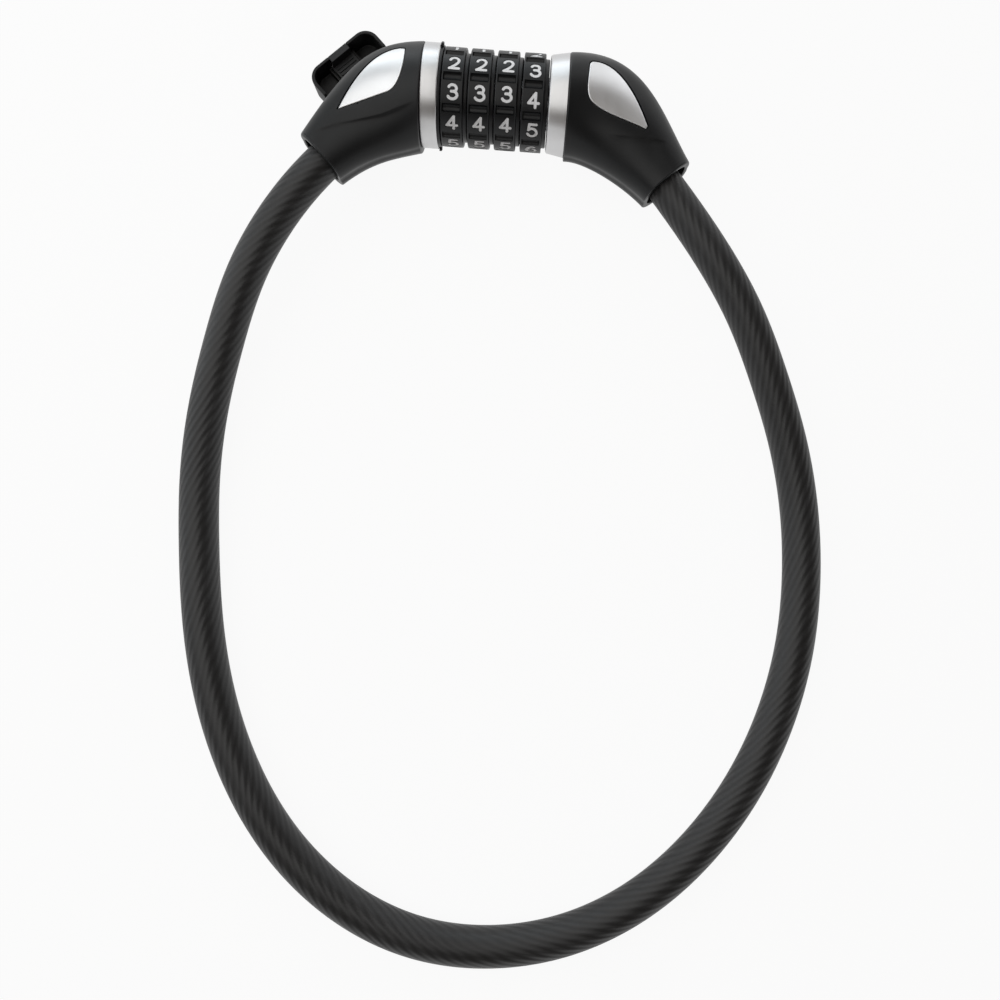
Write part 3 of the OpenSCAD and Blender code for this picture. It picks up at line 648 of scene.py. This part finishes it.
def makeHousing(name, side, front, body, node):
    # Rows run from the mouth to the ring outside, through the bulkhead's hole and back inside to the mouth
    cols, share, wall = housing["cols"], housing["endShare"], housing["wall"]
    x = np.linspace(0, 1, cols)
    a = np.pi * (x - housing["crowding"] * np.sin(2 * np.pi * x) / (2 * np.pi)) + (0 if front else np.pi)
    t = np.linspace(1 - share, share, housing["rows"])[:, None] + 0 * a[None]
    angles = a[None] + 0 * t
    seam = housing["seamDepth"] * np.exp(-((16 * np.sin(a) / housing["seamWidth"]) ** 2))
    hasLand = not front and side["turn"] < 0
    if front:
        outline = closedOutline(side["insert"])
        t, angles = gather(side, t, angles, lambda flat: outlineDistance(flat, outline))
        flat = section(side, t, angles, 0)[..., :2]
        inside = outlineDistance(flat, outline)
        inset = np.where(inside < 0, housing["recess"], 0) + creaseInset(side, flat, angles) * (inside > 0)
        outer = section(side, t, angles, inset + seam)
        edge = np.exp(-np.abs(inside) / 0.5)
    else:
        wells = [
            lambda flat, middle=post: np.linalg.norm(flat - np.array(middle), axis=-1) - well["radius"]
            for post in side["posts"]
        ]
        for place in wells + [landDistance] * hasLand:
            t, angles = gather(side, t, angles, place)
        flat = section(side, t, angles, 0)[..., :2]
        outer = section(side, t, angles, seam)
        edge = 0 * t
        if hasLand:
            raiseWithin(outer, landDistance(flat), shoeFrame["landLevel"])
            edge = np.exp(-np.abs(landDistance(flat)) / 0.5)
        for place in wells:
            raiseWithin(outer, place(flat), well["floor"])
    theta = np.linspace(0, np.pi / 2, 6)[1:]
    r, small = housing["ringRound"], housing["innerRound"]
    ringEnd = [section(side, share * (1 - np.sin(k)), a, r * (1 - np.cos(k)) + seam) for k in theta]
    face = side["outer"][0][0]
    hole = np.stack([np.full(cols, face), side["hole"] * np.cos(a), side["hole"] * np.sin(a)], -1)
    endFace = [ringEnd[-1] * (1 - k) + hole * k for k in (0.3, 0.65, 1.0)]
    back = hole + [side["turn"] * housing["bulkhead"], 0, 0]
    innerT = np.linspace(0.05, 1 - share, 60)[:, None] + 0 * a[None]
    inner = section(side, innerT, a[None], wall)
    if not front:
        flat = inner[..., :2]
        for place in wells:
            raiseWithin(inner, place(flat) - well["wall"], well["floor"] + well["wall"])
        if hasLand:
            raiseWithin(inner, landDistance(flat, 1), shoeFrame["landFloor"])
    r = housing["mouthRound"]
    lip = [section(side, 1 - share * (small / r) * (1 - np.sin(k)), a, wall - small * (1 - np.cos(k))) for k in theta]
    lip += [section(side, 1.0, a, wall - small - k) for k in (0.3, 0.6)]
    lip += [section(side, 1 - share * (1 - np.cos(k)), a, r * (1 - np.sin(k)) + seam) for k in theta]
    rows = np.concatenate([outer, np.stack(ringEnd + endFace + [back]), inner, np.stack(lip)])
    total, shown = len(rows), len(outer)
    edges = np.concatenate([edge, np.zeros((total - shown, cols))])
    rim = np.exp(-(1 - np.concatenate([t[:, 0], np.zeros(total - shown)])) / 0.012)[:, None]
    edges = np.clip(edges + rim, 0, 1)
    edges[shown:shown + 3], edges[-8:] = 0.8, 1  # the ring's end and the mouth
    caps = [np.arange(total)[::-1] * cols, np.arange(total) * cols + cols - 1]
    return makePiece(
        name, rows.reshape(-1, 3) + headCentre, gridQuads(total, cols, wrapRows=True), housingPlastic, body,
        "housing_plastic", (node,), caps, edge=edges.ravel(), sharp=38,
    )


makeHousing("leftFrontShell", leftSide, True, "lock_body", "left_housing_front")
makeHousing("leftBackShell", leftSide, False, "lock_body", "left_housing_back")
makeHousing("rightFrontShell", rightSide, True, "bolt_end", "right_housing_front")
makeHousing("rightBackShell", rightSide, False, "bolt_end", "right_housing_back")
print("housings made")


insert = {
    "edgeRound": 0.32,
    "seat": [0.06, -0.12],  # towards the ring and down from the recess's middle
    "proud": 0.04,
    "rings": 22,
    "points": 260,
}


def insetOutline(outline, normal, gap):
    # The outline moved in by the gap; points that cross over in a sharp corner go between their neighbours
    moved = outline - normal * gap
    good = outlineDistance(moved, outline) < -0.97 * gap
    place = np.arange(len(outline))
    return np.stack([np.interp(place, place[good], moved[good, k], period=len(outline)) for k in (0, 1)], -1)


def makeInsert(name, side, body, node):
    # Polar grid: centre + s (outline - centre) laid on the housing's surface, then over the round edge and down
    outline = closedOutline(side["insert"], insert["points"])
    along = np.roll(outline, -1, 0) - np.roll(outline, 1, 0)
    normal = unit(np.stack([along[:, 1], -along[:, 0]], -1))
    middle = outline.mean(0)
    if ((outline - middle) * normal).sum() < 0:
        normal = -normal
    r = insert["edgeRound"]
    edge = insetOutline(outline, normal, housing["insertGap"])
    inner = insetOutline(outline, normal, housing["insertGap"] + r)
    seat = [side["turn"] * -insert["seat"][0], insert["seat"][1]]
    edge, inner, normal = edge + seat, inner + seat, (edge - inner) / r
    s = np.linspace(0.02, 1, insert["rings"]) ** 0.8
    theta = np.linspace(0, np.pi / 2, 6)[1:]
    flat = [middle + (inner - middle) * k for k in s] + [inner + normal * r * np.sin(k) for k in theta]
    drop = [-insert["proud"]] * len(s) + [r * (1 - np.cos(k)) - insert["proud"] for k in theta]
    flat += [edge, edge, middle + (edge - middle) * 0.5, middle + (edge - middle) * 0.02]
    drop += [housing["recess"] * 0.6] + [housing["recess"] * 0.98] * 3
    flat, drop = np.stack(flat), np.array(drop)[:, None]
    searchT, searchA = np.linspace(0.02, 0.98, 60), np.linspace(0.05, np.pi - 0.05, 60)
    gridT, gridA = np.meshgrid(searchT, searchA, indexing="ij")
    coarse = section(side, gridT, gridA, 0)[..., :2].reshape(-1, 2)
    nearest = np.linalg.norm(flat[..., None, :] - coarse, axis=-1).argmin(-1)
    t, a = solveSection(side, flat, gridT.ravel()[nearest], gridA.ravel()[nearest], 7)
    points = section(side, t, a, 0)
    h = 1e-4
    byT, byA = section(side, t + h, a, 0) - points, section(side, t, a + h, 0) - points
    out = unit(np.cross(byT, byA))
    out *= np.sign(out[..., 2:])
    points = (points - out * drop[..., None]).reshape(-1, 3) + headCentre
    rows, cols = len(flat), insert["points"]
    return makePiece(
        name, points, gridQuads(rows, cols, wrapCols=True), silverInsert, body, "silver_insert", (node,),
        endCaps(rows, cols), sharp=40,
    )


makeInsert("leftInsertPlate", leftSide, "lock_body", "left_insert")
makeInsert("rightInsertPlate", rightSide, "bolt_end", "right_insert")
print("inserts made")


rings = {
    # corners as (u, r), and the round of each
    "left": ([[-22, 15.8], [-16.7, 15.8], [-16.7, 12], [-22, 12]], [0.5, 0.35, 0.1, 0.1]),
    "collar": ([[-16.7, 15.2], [-15.85, 15.2], [-15.85, 12], [-16.7, 12]], [0.05, 0.3, 0.1, 0.05]),
    "right": ([[17.15, 14.7], [23.05, 15.8], [23.05, 11.5], [17.15, 11.5]], [0.8, 0.25, 0.1, 0.1]),
}
nib = {"angles": (50, 242), "width": 2.2, "foot": 15.2, "sunk": 0.5, "height": 1.2, "start": -16.7, "end": -15.85}


def makeNib(angle):
    # A small rounded block across the collar: outline in (u, radius), carried sideways with its ends drawn in
    low, high = nib["foot"] - nib["sunk"], nib["foot"] + nib["height"]
    corners = [[nib["start"], low], [nib["start"], high], [nib["end"], high], [nib["end"], low]]
    outline = softCorners(corners, [0.02, 0.1, 0.3, 0.02])
    half = nib["width"] / 2
    across = np.array([-half, -half + 0.08, -half + 0.25, half - 0.25, half - 0.08, half])[:, None]
    shape = drawnIn(outline, [0.62, 0.88, 1, 1, 0.88, 0.62])
    sine, cosine = np.sin(radians(angle)), np.cos(radians(angle))
    y, z = shape[..., 1] * sine + across * cosine, shape[..., 1] * cosine - across * sine
    points = np.stack([shape[..., 0], y, z], -1).reshape(-1, 3) + headCentre
    rows, cols = len(across), len(outline)
    return points, gridQuads(rows, cols, wrapCols=True), endCaps(rows, cols)


for name, ring, material, body, slot, node in (
    ("leftRingTurned", "left", satinRing, "lock_body", "satin_ring", "left_ring"),
    ("rightRingTurned", "right", satinRing, "bolt_end", "satin_ring", "right_ring"),
    ("collarRing", "collar", dialPlastic, "lock_body", "dial_plastic", "index_collar"),
):
    lathe(name, softCorners(*rings[ring], 5), material, body=body, slot=slot, stands=(node,))
for k, nibAngle in enumerate(nib["angles"]):
    nibPoints, nibQuads, nibCaps = makeNib(nibAngle)
    makePiece(
        f"collarNib{k + 1}", nibPoints, nibQuads, dialPlastic, "lock_body", "dial_plastic", ("index_collar",), nibCaps,
    )
print("rings made")


dial = {
    "start": -15.6,
    "pitch": 8.2,
    "width": 7.95,
    "padWidth": 6.7,
    "padRadius": 14.9,
    "bandRadius": 13.3,
    "bore": 10.5,
    "scoopRadius": 1.35,
    "scoopOut": 0.2,
    "scoopRim": 0.55,
    "scoopSoft": 0.25,
    "rest": [-0.2, 0.2, 1.4, -2.9],  # degrees each dial stands off the line of the digits
}
digit = {
    "width": 3.7,
    "height": 5.0,
    "stroke": 0.9,
    "centre": 3.65,  # from the dial's left face
    "first": [90, 90, 90, 126],  # angle at which each dial's 0 stands
    "depth": 0.16,
    "draft": 0.08,  # how much wider the groove is at its top, on each side
    "grid": 0.1,
    "paint": 0.02,  # thickness of the paint in the groove
}
digitX, digitY = (digit["width"] - digit["stroke"]) / 2, (digit["height"] - digit["stroke"]) / 2


def oval(cx, cy, rx, ry, start=90, sweep=360, count=17):
    a = np.radians(start + sweep * np.linspace(0, 1, count))
    return [[cx + rx * np.cos(k), cy + ry * np.sin(k)] for k in a]


strokes = {
    0: [oval(0, 0, digitX, digitY)],
    1: [[[-0.95, 1.1], [0.1, digitY]], [[0.1, digitY], [0.1, -digitY]]],
    2: [
        oval(0, 0.8, digitX - 0.1, digitY - 0.8, 165, -190, 13) + [[0.75, -0.35], [-0.1, -1.15], [-digitX, -digitY]],
        [[-digitX, -digitY], [digitX, -digitY]],
    ],
    3: [
        oval(-0.05, 1.0, digitX - 0.2, digitY - 1.0, 155, -205, 12) + [[0.3, 0.16], [-0.35, 0.12]],
        [[-0.35, 0.12], [0.25, 0.12]] + oval(0, -0.93, digitX, digitY - 0.93, 50, -205, 12),
    ],
    4: [
        [[0.55, digitY], [-digitX - 0.12, -0.85]], [[-digitX - 0.12, -0.85], [digitX + 0.1, -0.85]],
        [[0.55, digitY], [0.55, -digitY]],
    ],
    5: [
        [[digitX - 0.15, digitY], [-0.85, digitY]], [[-0.85, digitY], [-1.05, 0.2]],
        [[-1.05, 0.2]] + oval(0, -0.68, digitX, digitY - 0.68, 118, -275, 14),
    ],
    6: [
        [[0.95, digitY - 0.35], [0.35, digitY], [-0.45, digitY - 0.25], [-1.15, 0.9]]
        + oval(0, -0.72, digitX, digitY - 0.72, 180, 360, 17)
    ],
    7: [[[-digitX, digitY], [digitX, digitY]], [[digitX, digitY], [-0.35, -digitY]]],
    8: [oval(0, 1.08, digitX - 0.2, digitY - 1.08), oval(0, -0.94, digitX, digitY - 0.94)],
}
strokes[9] = [[[-x, -y] for x, y in stroke] for stroke in strokes[6]]


def strokeLine(path):
    path = np.asarray(path, float)
    if len(path) > 2:
        return smoothPath(path, 44)
    return path[0] + np.linspace(0, 1, 9)[:, None] * (path[1] - path[0])


def grooveDistance(flat, number):
    # Distance to the nearest stroke's centre line, less half the groove's width at its top
    found = np.full(flat.shape[:-1], 99.0)
    for path in strokes[number]:
        line = strokeLine(path)
        a, ab = line[:-1], np.diff(line, axis=0)
        along = np.clip(((flat[..., None, :] - a) * ab).sum(-1) / (ab * ab).sum(-1), 0, 1)
        found = np.minimum(found, np.linalg.norm(flat[..., None, :] - a - along[..., None] * ab, axis=-1).min(-1))
    return found - digit["stroke"] / 2 - digit["draft"]


def engrave(flat, number, reach=0.12, lip=0.02):
    # Grid points near the groove's edge go to both its sides;
    # then depth = engraved depth * (lip - d) / draft, cut to its range
    d = grooveDistance(flat, number)
    slope = slopeOf(lambda place: grooveDistance(place, number), flat, d)
    wanted = np.sign(d) * (lip + (np.abs(d) / reach) ** 2 * (reach - lip))
    flat = flat + np.where(np.abs(d) < reach, wanted - d, 0)[..., None] * slope
    return flat, digit["depth"] * np.clip((lip - grooveDistance(flat, number)) / digit["draft"], 0, 1)


def makeDial(index):
    # r(u, a): pad or band radius, less the scoop's circle r = c cos d - sqrt(s^2 - c^2 sin^2 d) about each
    # tenth of a turn, less the digit's groove in the middle of each pad
    pad, band, bore = dial["padRadius"], dial["bandRadius"], dial["bore"]
    wide, padWide = dial["width"], dial["padWidth"]
    margin = digit["width"] / 2 + digit["draft"] + 0.2
    first, last = digit["centre"] - margin, digit["centre"] + margin
    fine = np.linspace(first, last, int(round((last - first) / digit["grid"])) + 1)
    near = [[0, pad - 0.5], [0.02, pad - 0.3], [0.1, pad - 0.1]]
    near += [[u, pad] for u in (0.28, 0.44, 0.55, 0.6, 0.67, 0.74, 0.82, 1.1)]
    far = [[u, pad] for u in (5.88, 5.96, 6.03, 6.1, 6.15, 6.26, 6.45)] + [
        [6.6, pad - 0.1], [6.68, pad - 0.3], [padWide, pad - 0.55],
        [padWide, band + 0.25], [6.76, band + 0.08], [6.95, band], [7.3, band], [7.7, band], [7.88, band - 0.07],
        [wide, band - 0.25], [wide, 12.2], [wide, bore + 0.1], [7.85, bore], [0.1, bore], [0, bore + 0.1], [0, 12.2],
    ]
    profile = np.array(near + [[u, pad] for u in fine] + far)
    c = pad + dial["scoopOut"]
    tenth, middle = radians(36), radians(18)
    reach = np.arccos((c * c + pad * pad - dial["scoopRadius"] ** 2) / (2 * c * pad))
    within = reach * np.sin(np.linspace(-np.pi / 2, np.pi / 2, 17))
    half = (digit["height"] / 2 + digit["draft"] + 0.15) / pad
    up = np.linspace(-half, half, int(round(2 * half * pad / digit["grid"])) + 1)
    beside = np.linspace(reach + 0.004, middle - half, 5)[:-1]
    offsets = np.concatenate([within, beside, middle + up, (tenth - beside)[::-1]])
    sector = np.arange(10)[:, None] * tenth
    d = np.tile(offsets, 10)
    inScoop = np.abs(d) <= reach + 1e-9
    floor = c * np.cos(d) - np.sqrt(np.maximum(dial["scoopRadius"] ** 2 - (c * np.sin(d)) ** 2, 0))
    depth = np.where(inScoop, np.maximum(pad - floor, 0), 0)
    u = profile[:, 0, None]
    rim, soft = dial["scoopRim"], dial["scoopSoft"]
    open_ = smoothStep((u - rim) / soft) * smoothStep((padWide - rim - u) / soft)
    open_ = np.where(profile[:, 1, None] >= pad - 1e-6, open_, 0)
    grid = np.broadcast_arrays(u, (sector + offsets).ravel()[None], profile[:, 1, None] - depth[None] * open_)
    u, angle, r = (part.copy() for part in grid)
    top, side = len(near), len(within) + len(beside)
    flat = np.stack(np.broadcast_arrays(fine[:, None] - digit["centre"], up[None] * pad), -1)
    for k in range(10):
        number = (round((digit["first"][index] - 18) / 36) - k) % 10
        moved, cut = engrave(flat, number)
        start = k * len(offsets) + side
        place = (slice(top, top + len(fine)), slice(start, start + len(up)))
        u[place] = digit["centre"] + moved[..., 0]
        angle[place] = k * tenth + middle + moved[..., 1] / pad
        r[place] -= cut
    u = u + dial["start"] + index * dial["pitch"]
    points = aroundBarrel(u, r, angle + radians(dial["rest"][index])).reshape(-1, 3)
    rims = np.concatenate([[1, 2, 3], top + len(fine) + np.array([6, 7, 8])])
    edge = np.where(np.isin(np.arange(len(profile)), rims), 0.8, 0)[:, None]
    edge = edge + 0.5 * (np.abs(np.abs(d) - reach) < 0.006) * (open_ > 0.3)
    number = index + 1
    return makePiece(
        f"dial{number}Turned", points, gridQuads(len(profile), angle.shape[1], True, True), dialPlastic,
        f"dial_{number}_body", "dial_plastic", (f"dial_{number}",), edge=np.clip(edge, 0, 1).ravel(), sharp=30,
    )


for index in range(4):
    makeDial(index)
print("dials made")


def strokeRibbon(path, lift):
    # A flat band along the path with round ends: half width h cos k at h sin k past the last point
    line = strokeLine(path)
    half = digit["stroke"] / 2
    k = np.linspace(np.pi / 2 - 0.12, 0.2, 7)
    past = half * np.sin(k)[:, None]
    head, tail = line[0] + unit(line[0] - line[1]) * past, line[-1] + unit(line[-1] - line[-2]) * past[::-1]
    centre = np.concatenate([head, line, tail])
    width = np.concatenate([half * np.cos(k), np.full(len(line), half), half * np.cos(k[::-1])])
    along = unit(np.gradient(centre, axis=0))
    normal = np.stack([-along[:, 1], along[:, 0]], -1)
    share = np.array([-1, -0.93, 0.93, 1])
    flat = centre[:, None] + normal[:, None] * (width[:, None] * share)[..., None]
    return flat, np.broadcast_to([-0.04, lift, lift, -0.04], flat.shape[:2])


def makeDigits(index):
    # Each stroke's paint wrapped on the groove's floor: u = x, angle = y / pad radius, radius = floor + height
    pad = dial["padRadius"]
    points, quads, caps, count = [], [], [], 0
    for number, paths in strokes.items():
        stand = radians(digit["first"][index] - 36 * number + dial["rest"][index])
        for layer, path in enumerate(paths):
            flat, height = strokeRibbon(path, digit["paint"] + 0.006 * layer)
            u = dial["start"] + index * dial["pitch"] + digit["centre"] + flat[..., 0]
            points.append(aroundBarrel(u, pad - digit["depth"] + height, stand + flat[..., 1] / pad).reshape(-1, 3))
            rows = len(flat)
            quads.append(count + gridQuads(rows, 4, wrapCols=True))
            caps += endCaps(rows, 4, count)
            count += rows * 4
    makePiece(
        f"dial{index + 1}Digits", np.concatenate(points), np.concatenate(quads), digitPaint,
        f"dial_{index + 1}_body", "digit_paint", caps=caps, sharp=60,
    )


for index in range(4):
    makeDigits(index)
print("digits made")


bracket = {
    "tongue": [24.0, 33.5],  # its ends along the slide
    "tongueHalf": 11.2,
    "neckHalf": 7.0,
    "low": 2.1,
    "top": 3.9,
    "neckTop": 7.6,
    "tabNear": 46.7,
    "tabSide": 3,  # the tab's sides stand further out than this
    "tabGrow": 0.24,
}


def fromShoe(x, y, z):
    x = x + shoeFrame["mid"]
    return np.stack([(x - y) * slant, (x + y) * slant, z - headCentre[2]], -1) + headCentre


def makeTongue():
    # The T of the tongue and its neck, carried along the slide with its ends drawn in
    w, n, low, top, high = (bracket[key] for key in ("tongueHalf", "neckHalf", "low", "top", "neckTop"))
    outline = softCorners(
        [[-w, low], [w, low], [w, top], [n, top], [n, high], [-n, high], [-n, top], [-w, top]],
        [0.3, 0.3, 0.3, 0.2, 0.05, 0.05, 0.2, 0.3],
    )
    y0, y1 = bracket["tongue"]
    y = np.array([y0, y0 + 0.1, y0 + 0.3, y1 - 0.3, y1 - 0.1, y1])
    shape = drawnIn(outline, [0.975, 0.99, 1, 1, 0.99, 0.975])
    points = fromShoe(shape[..., 0], y[:, None] + 0 * shape[..., 0], shape[..., 1]).reshape(-1, 3)
    count = len(outline)
    makePiece(
        "bracketTongue", points, gridQuads(len(y), count, wrapCols=True), housingPlastic, "lock_body",
        "housing_plastic", ("left_housing_back",), endCaps(len(y), count),
    )


def widenTab(points):
    # The tab's sides moved out to just short of the notch's
    x, y = shoeFlat(points[:, :2] - headCentre[:2])
    onSide = (y > bracket["tabNear"]) & (np.abs(x) > bracket["tabSide"])
    move = np.where(onSide, np.sign(x) * bracket["tabGrow"], 0)
    return points + move[:, None] * np.array([1, 1, 0]) * slant


def softCopy(node, name, material, body, width, shape=None):
    # The solid's own shape, or one changed by the function, with its edges rounded
    mesh = nodes[node].data.copy()
    mesh.name = name
    built = bmesh.new()
    built.from_mesh(mesh)
    bmesh.ops.remove_doubles(built, verts=built.verts, dist=1e-6)
    bmesh.ops.dissolve_limit(built, angle_limit=radians(2), verts=built.verts, edges=built.edges)
    built.to_mesh(mesh)
    built.free()
    if shape:
        places = np.empty(len(mesh.vertices) * 3)
        mesh.vertices.foreach_get("co", places)
        mesh.vertices.foreach_set("co", (shape(places.reshape(-1, 3) / mm) * mm).ravel())
    mesh.materials.clear()
    mesh.materials.append(material)
    shadeSmooth(mesh, 30)
    piece = addObject(name, mesh)
    bevel = piece.modifiers.new("edges", "BEVEL")
    bevel.width, bevel.segments, bevel.harden_normals = width, 3, True
    bevel.limit_method, bevel.angle_limit = "ANGLE", radians(30)
    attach(piece, body)
    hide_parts(node)


makeTongue()
softCopy("bracket_shoe", "bracketShoeMoulded", bracketPlastic, "bracket", 0.00028)
softCopy("bracket_latch", "bracketLatchMoulded", latchPlastic, "latch", 0.00022, shape=widenTab)
print("bracket made")


# The solids that no piece replaces
finishes = {
    zincCasting: ["core_tube", "left_anchor", "right_anchor", "bolt"],
    springSteel: ["detent_strip", "cone_washer", "retaining_ring", "latch_spring"],
    darkSteel: [
        "left_anchor_pin", "left_anchor_screw", "bolt_pin", "right_anchor_screw",
        "left_housing_screws", "right_housing_screws",
    ],
    platedSteel: ["left_ferrule", "right_ferrule"],
    bushRubber: ["left_exit_bush", "right_exit_bush"],
    sleeveBrass: [f"code_sleeve_{k}" for k in (1, 2, 3, 4)],
}
for material, names in finishes.items():
    for solid in (nodes[name] for name in names):
        if not solid.data.materials:
            solid.data.materials.append(material)
        for slot in solid.material_slots:
            slot.material = material
print("solids finished")


room = {
    "floor": (0.74, 0.74, 0.74),
    "floorHalf": 6.0,
    "floorDrop": 0.0002,  # keeps it clear of what rests on it
    "floorSeen": 0.93,  # how far the floor goes to white before the camera and in reflections
    "backdropTop": [0.22, 0.34],  # sines of the heights between which the white backdrop ends
    "world": 0.16,
    "worldColour": (1.0, 0.90, 0.82),
    "lamps": [
        # name, place, aimed at, size, power, colour
        ("topPanel", (-0.45, 0.05, 0.80), (-0.45, 0.05, 0), 1.1, 4.8, (1.0, 0.995, 0.98)),
        ("backPanel", (-0.30, 0.95, 0.45), (-0.02, 0, 0), 0.85, 3.4, (0.87, 0.95, 1.0)),
        ("leftPanel", (-1.00, 0.10, 0.42), (0, -0.05, 0), 0.85, 2.5, (0.90, 0.955, 1.0)),
        ("wallPanel", (0.50, 0.75, 0.50), (0, -0.02, 0), 0.6, 1.2, (0.97, 0.98, 1.0)),
    ],
}


def seenRays(tree):
    # 1 for rays from the camera, from shiny surfaces and through clear ones, else 0
    rays = addNode(tree, "ShaderNodeLightPath")
    shiny = mathNode(tree, "MAXIMUM", rays.outputs["Is Glossy Ray"], rays.outputs["Is Transmission Ray"])
    return mathNode(tree, "MAXIMUM", rays.outputs["Is Camera Ray"], shiny)


def mixShaders(tree, factor, plain, white, end):
    # The plain surface or sky, and white as far as the factor goes
    mix = addNode(tree, "ShaderNodeMixShader")
    for k, value in enumerate((factor, plain, white)):
        tree.links.new(value, mix.inputs[k])
    tree.links.new(mix.outputs[0], tree.nodes[end].inputs["Surface"])


def makeFloor():
    mesh = bpy.data.meshes.new("floor")
    r = room["floorHalf"]
    mesh.from_pydata([(-r, -r, 0), (r, -r, 0), (r, r, 0), (-r, r, 0)], [], [(0, 1, 2, 3)])
    material, tree, shader, _ = startMaterial("floorCard", Roughness=0.9, **{"Specular IOR Level": 0.1})
    shader.inputs["Base Color"].default_value = (*room["floor"], 1)
    glow = addNode(tree, "ShaderNodeEmission", {"Color": (1, 1, 1, 1), "Strength": 1.0})
    seen = mathNode(tree, "MULTIPLY", seenRays(tree), room["floorSeen"])
    mixShaders(tree, seen, shader.outputs[0], glow.outputs[0], "Material Output")
    mesh.materials.append(material)
    floor = addObject("floor", mesh)
    floor.location.z = -room["floorDrop"]


def makeLight():
    world = bpy.data.worlds.new("studio")
    world.use_nodes = True
    bpy.context.scene.world = world
    tree = world.node_tree
    sky = tree.nodes["Background"]
    sky.inputs["Color"].default_value = (*room["worldColour"], 1)
    sky.inputs["Strength"].default_value = room["world"]
    shown = addNode(tree, "ShaderNodeBackground", {"Color": (1, 1, 1, 1), "Strength": 1.0})
    height = partsOf(tree, addNode(tree, "ShaderNodeTexCoord").outputs["Generated"])["Z"]
    low, high = room["backdropTop"]
    below = mathNode(tree, "MULTIPLY_ADD", height, -1 / (high - low), high / (high - low), clamp=True)
    seen = mathNode(tree, "MULTIPLY", seenRays(tree), below)
    mixShaders(tree, seen, sky.outputs[0], shown.outputs[0], "World Output")
    for name, place, aim, size, power, colour in room["lamps"]:
        data = bpy.data.lights.new(name, "AREA")
        data.size, data.energy, data.color = size, power, colour
        lamp = addObject(name, data)
        lamp.location = place
        toward = Vector(aim) - Vector(place)
        lamp.rotation_euler = toward.to_track_quat("-Z", "Y").to_euler()


makeFloor()
makeLight()
bpy.context.scene.view_settings.view_transform = "Standard"
print("stage set")
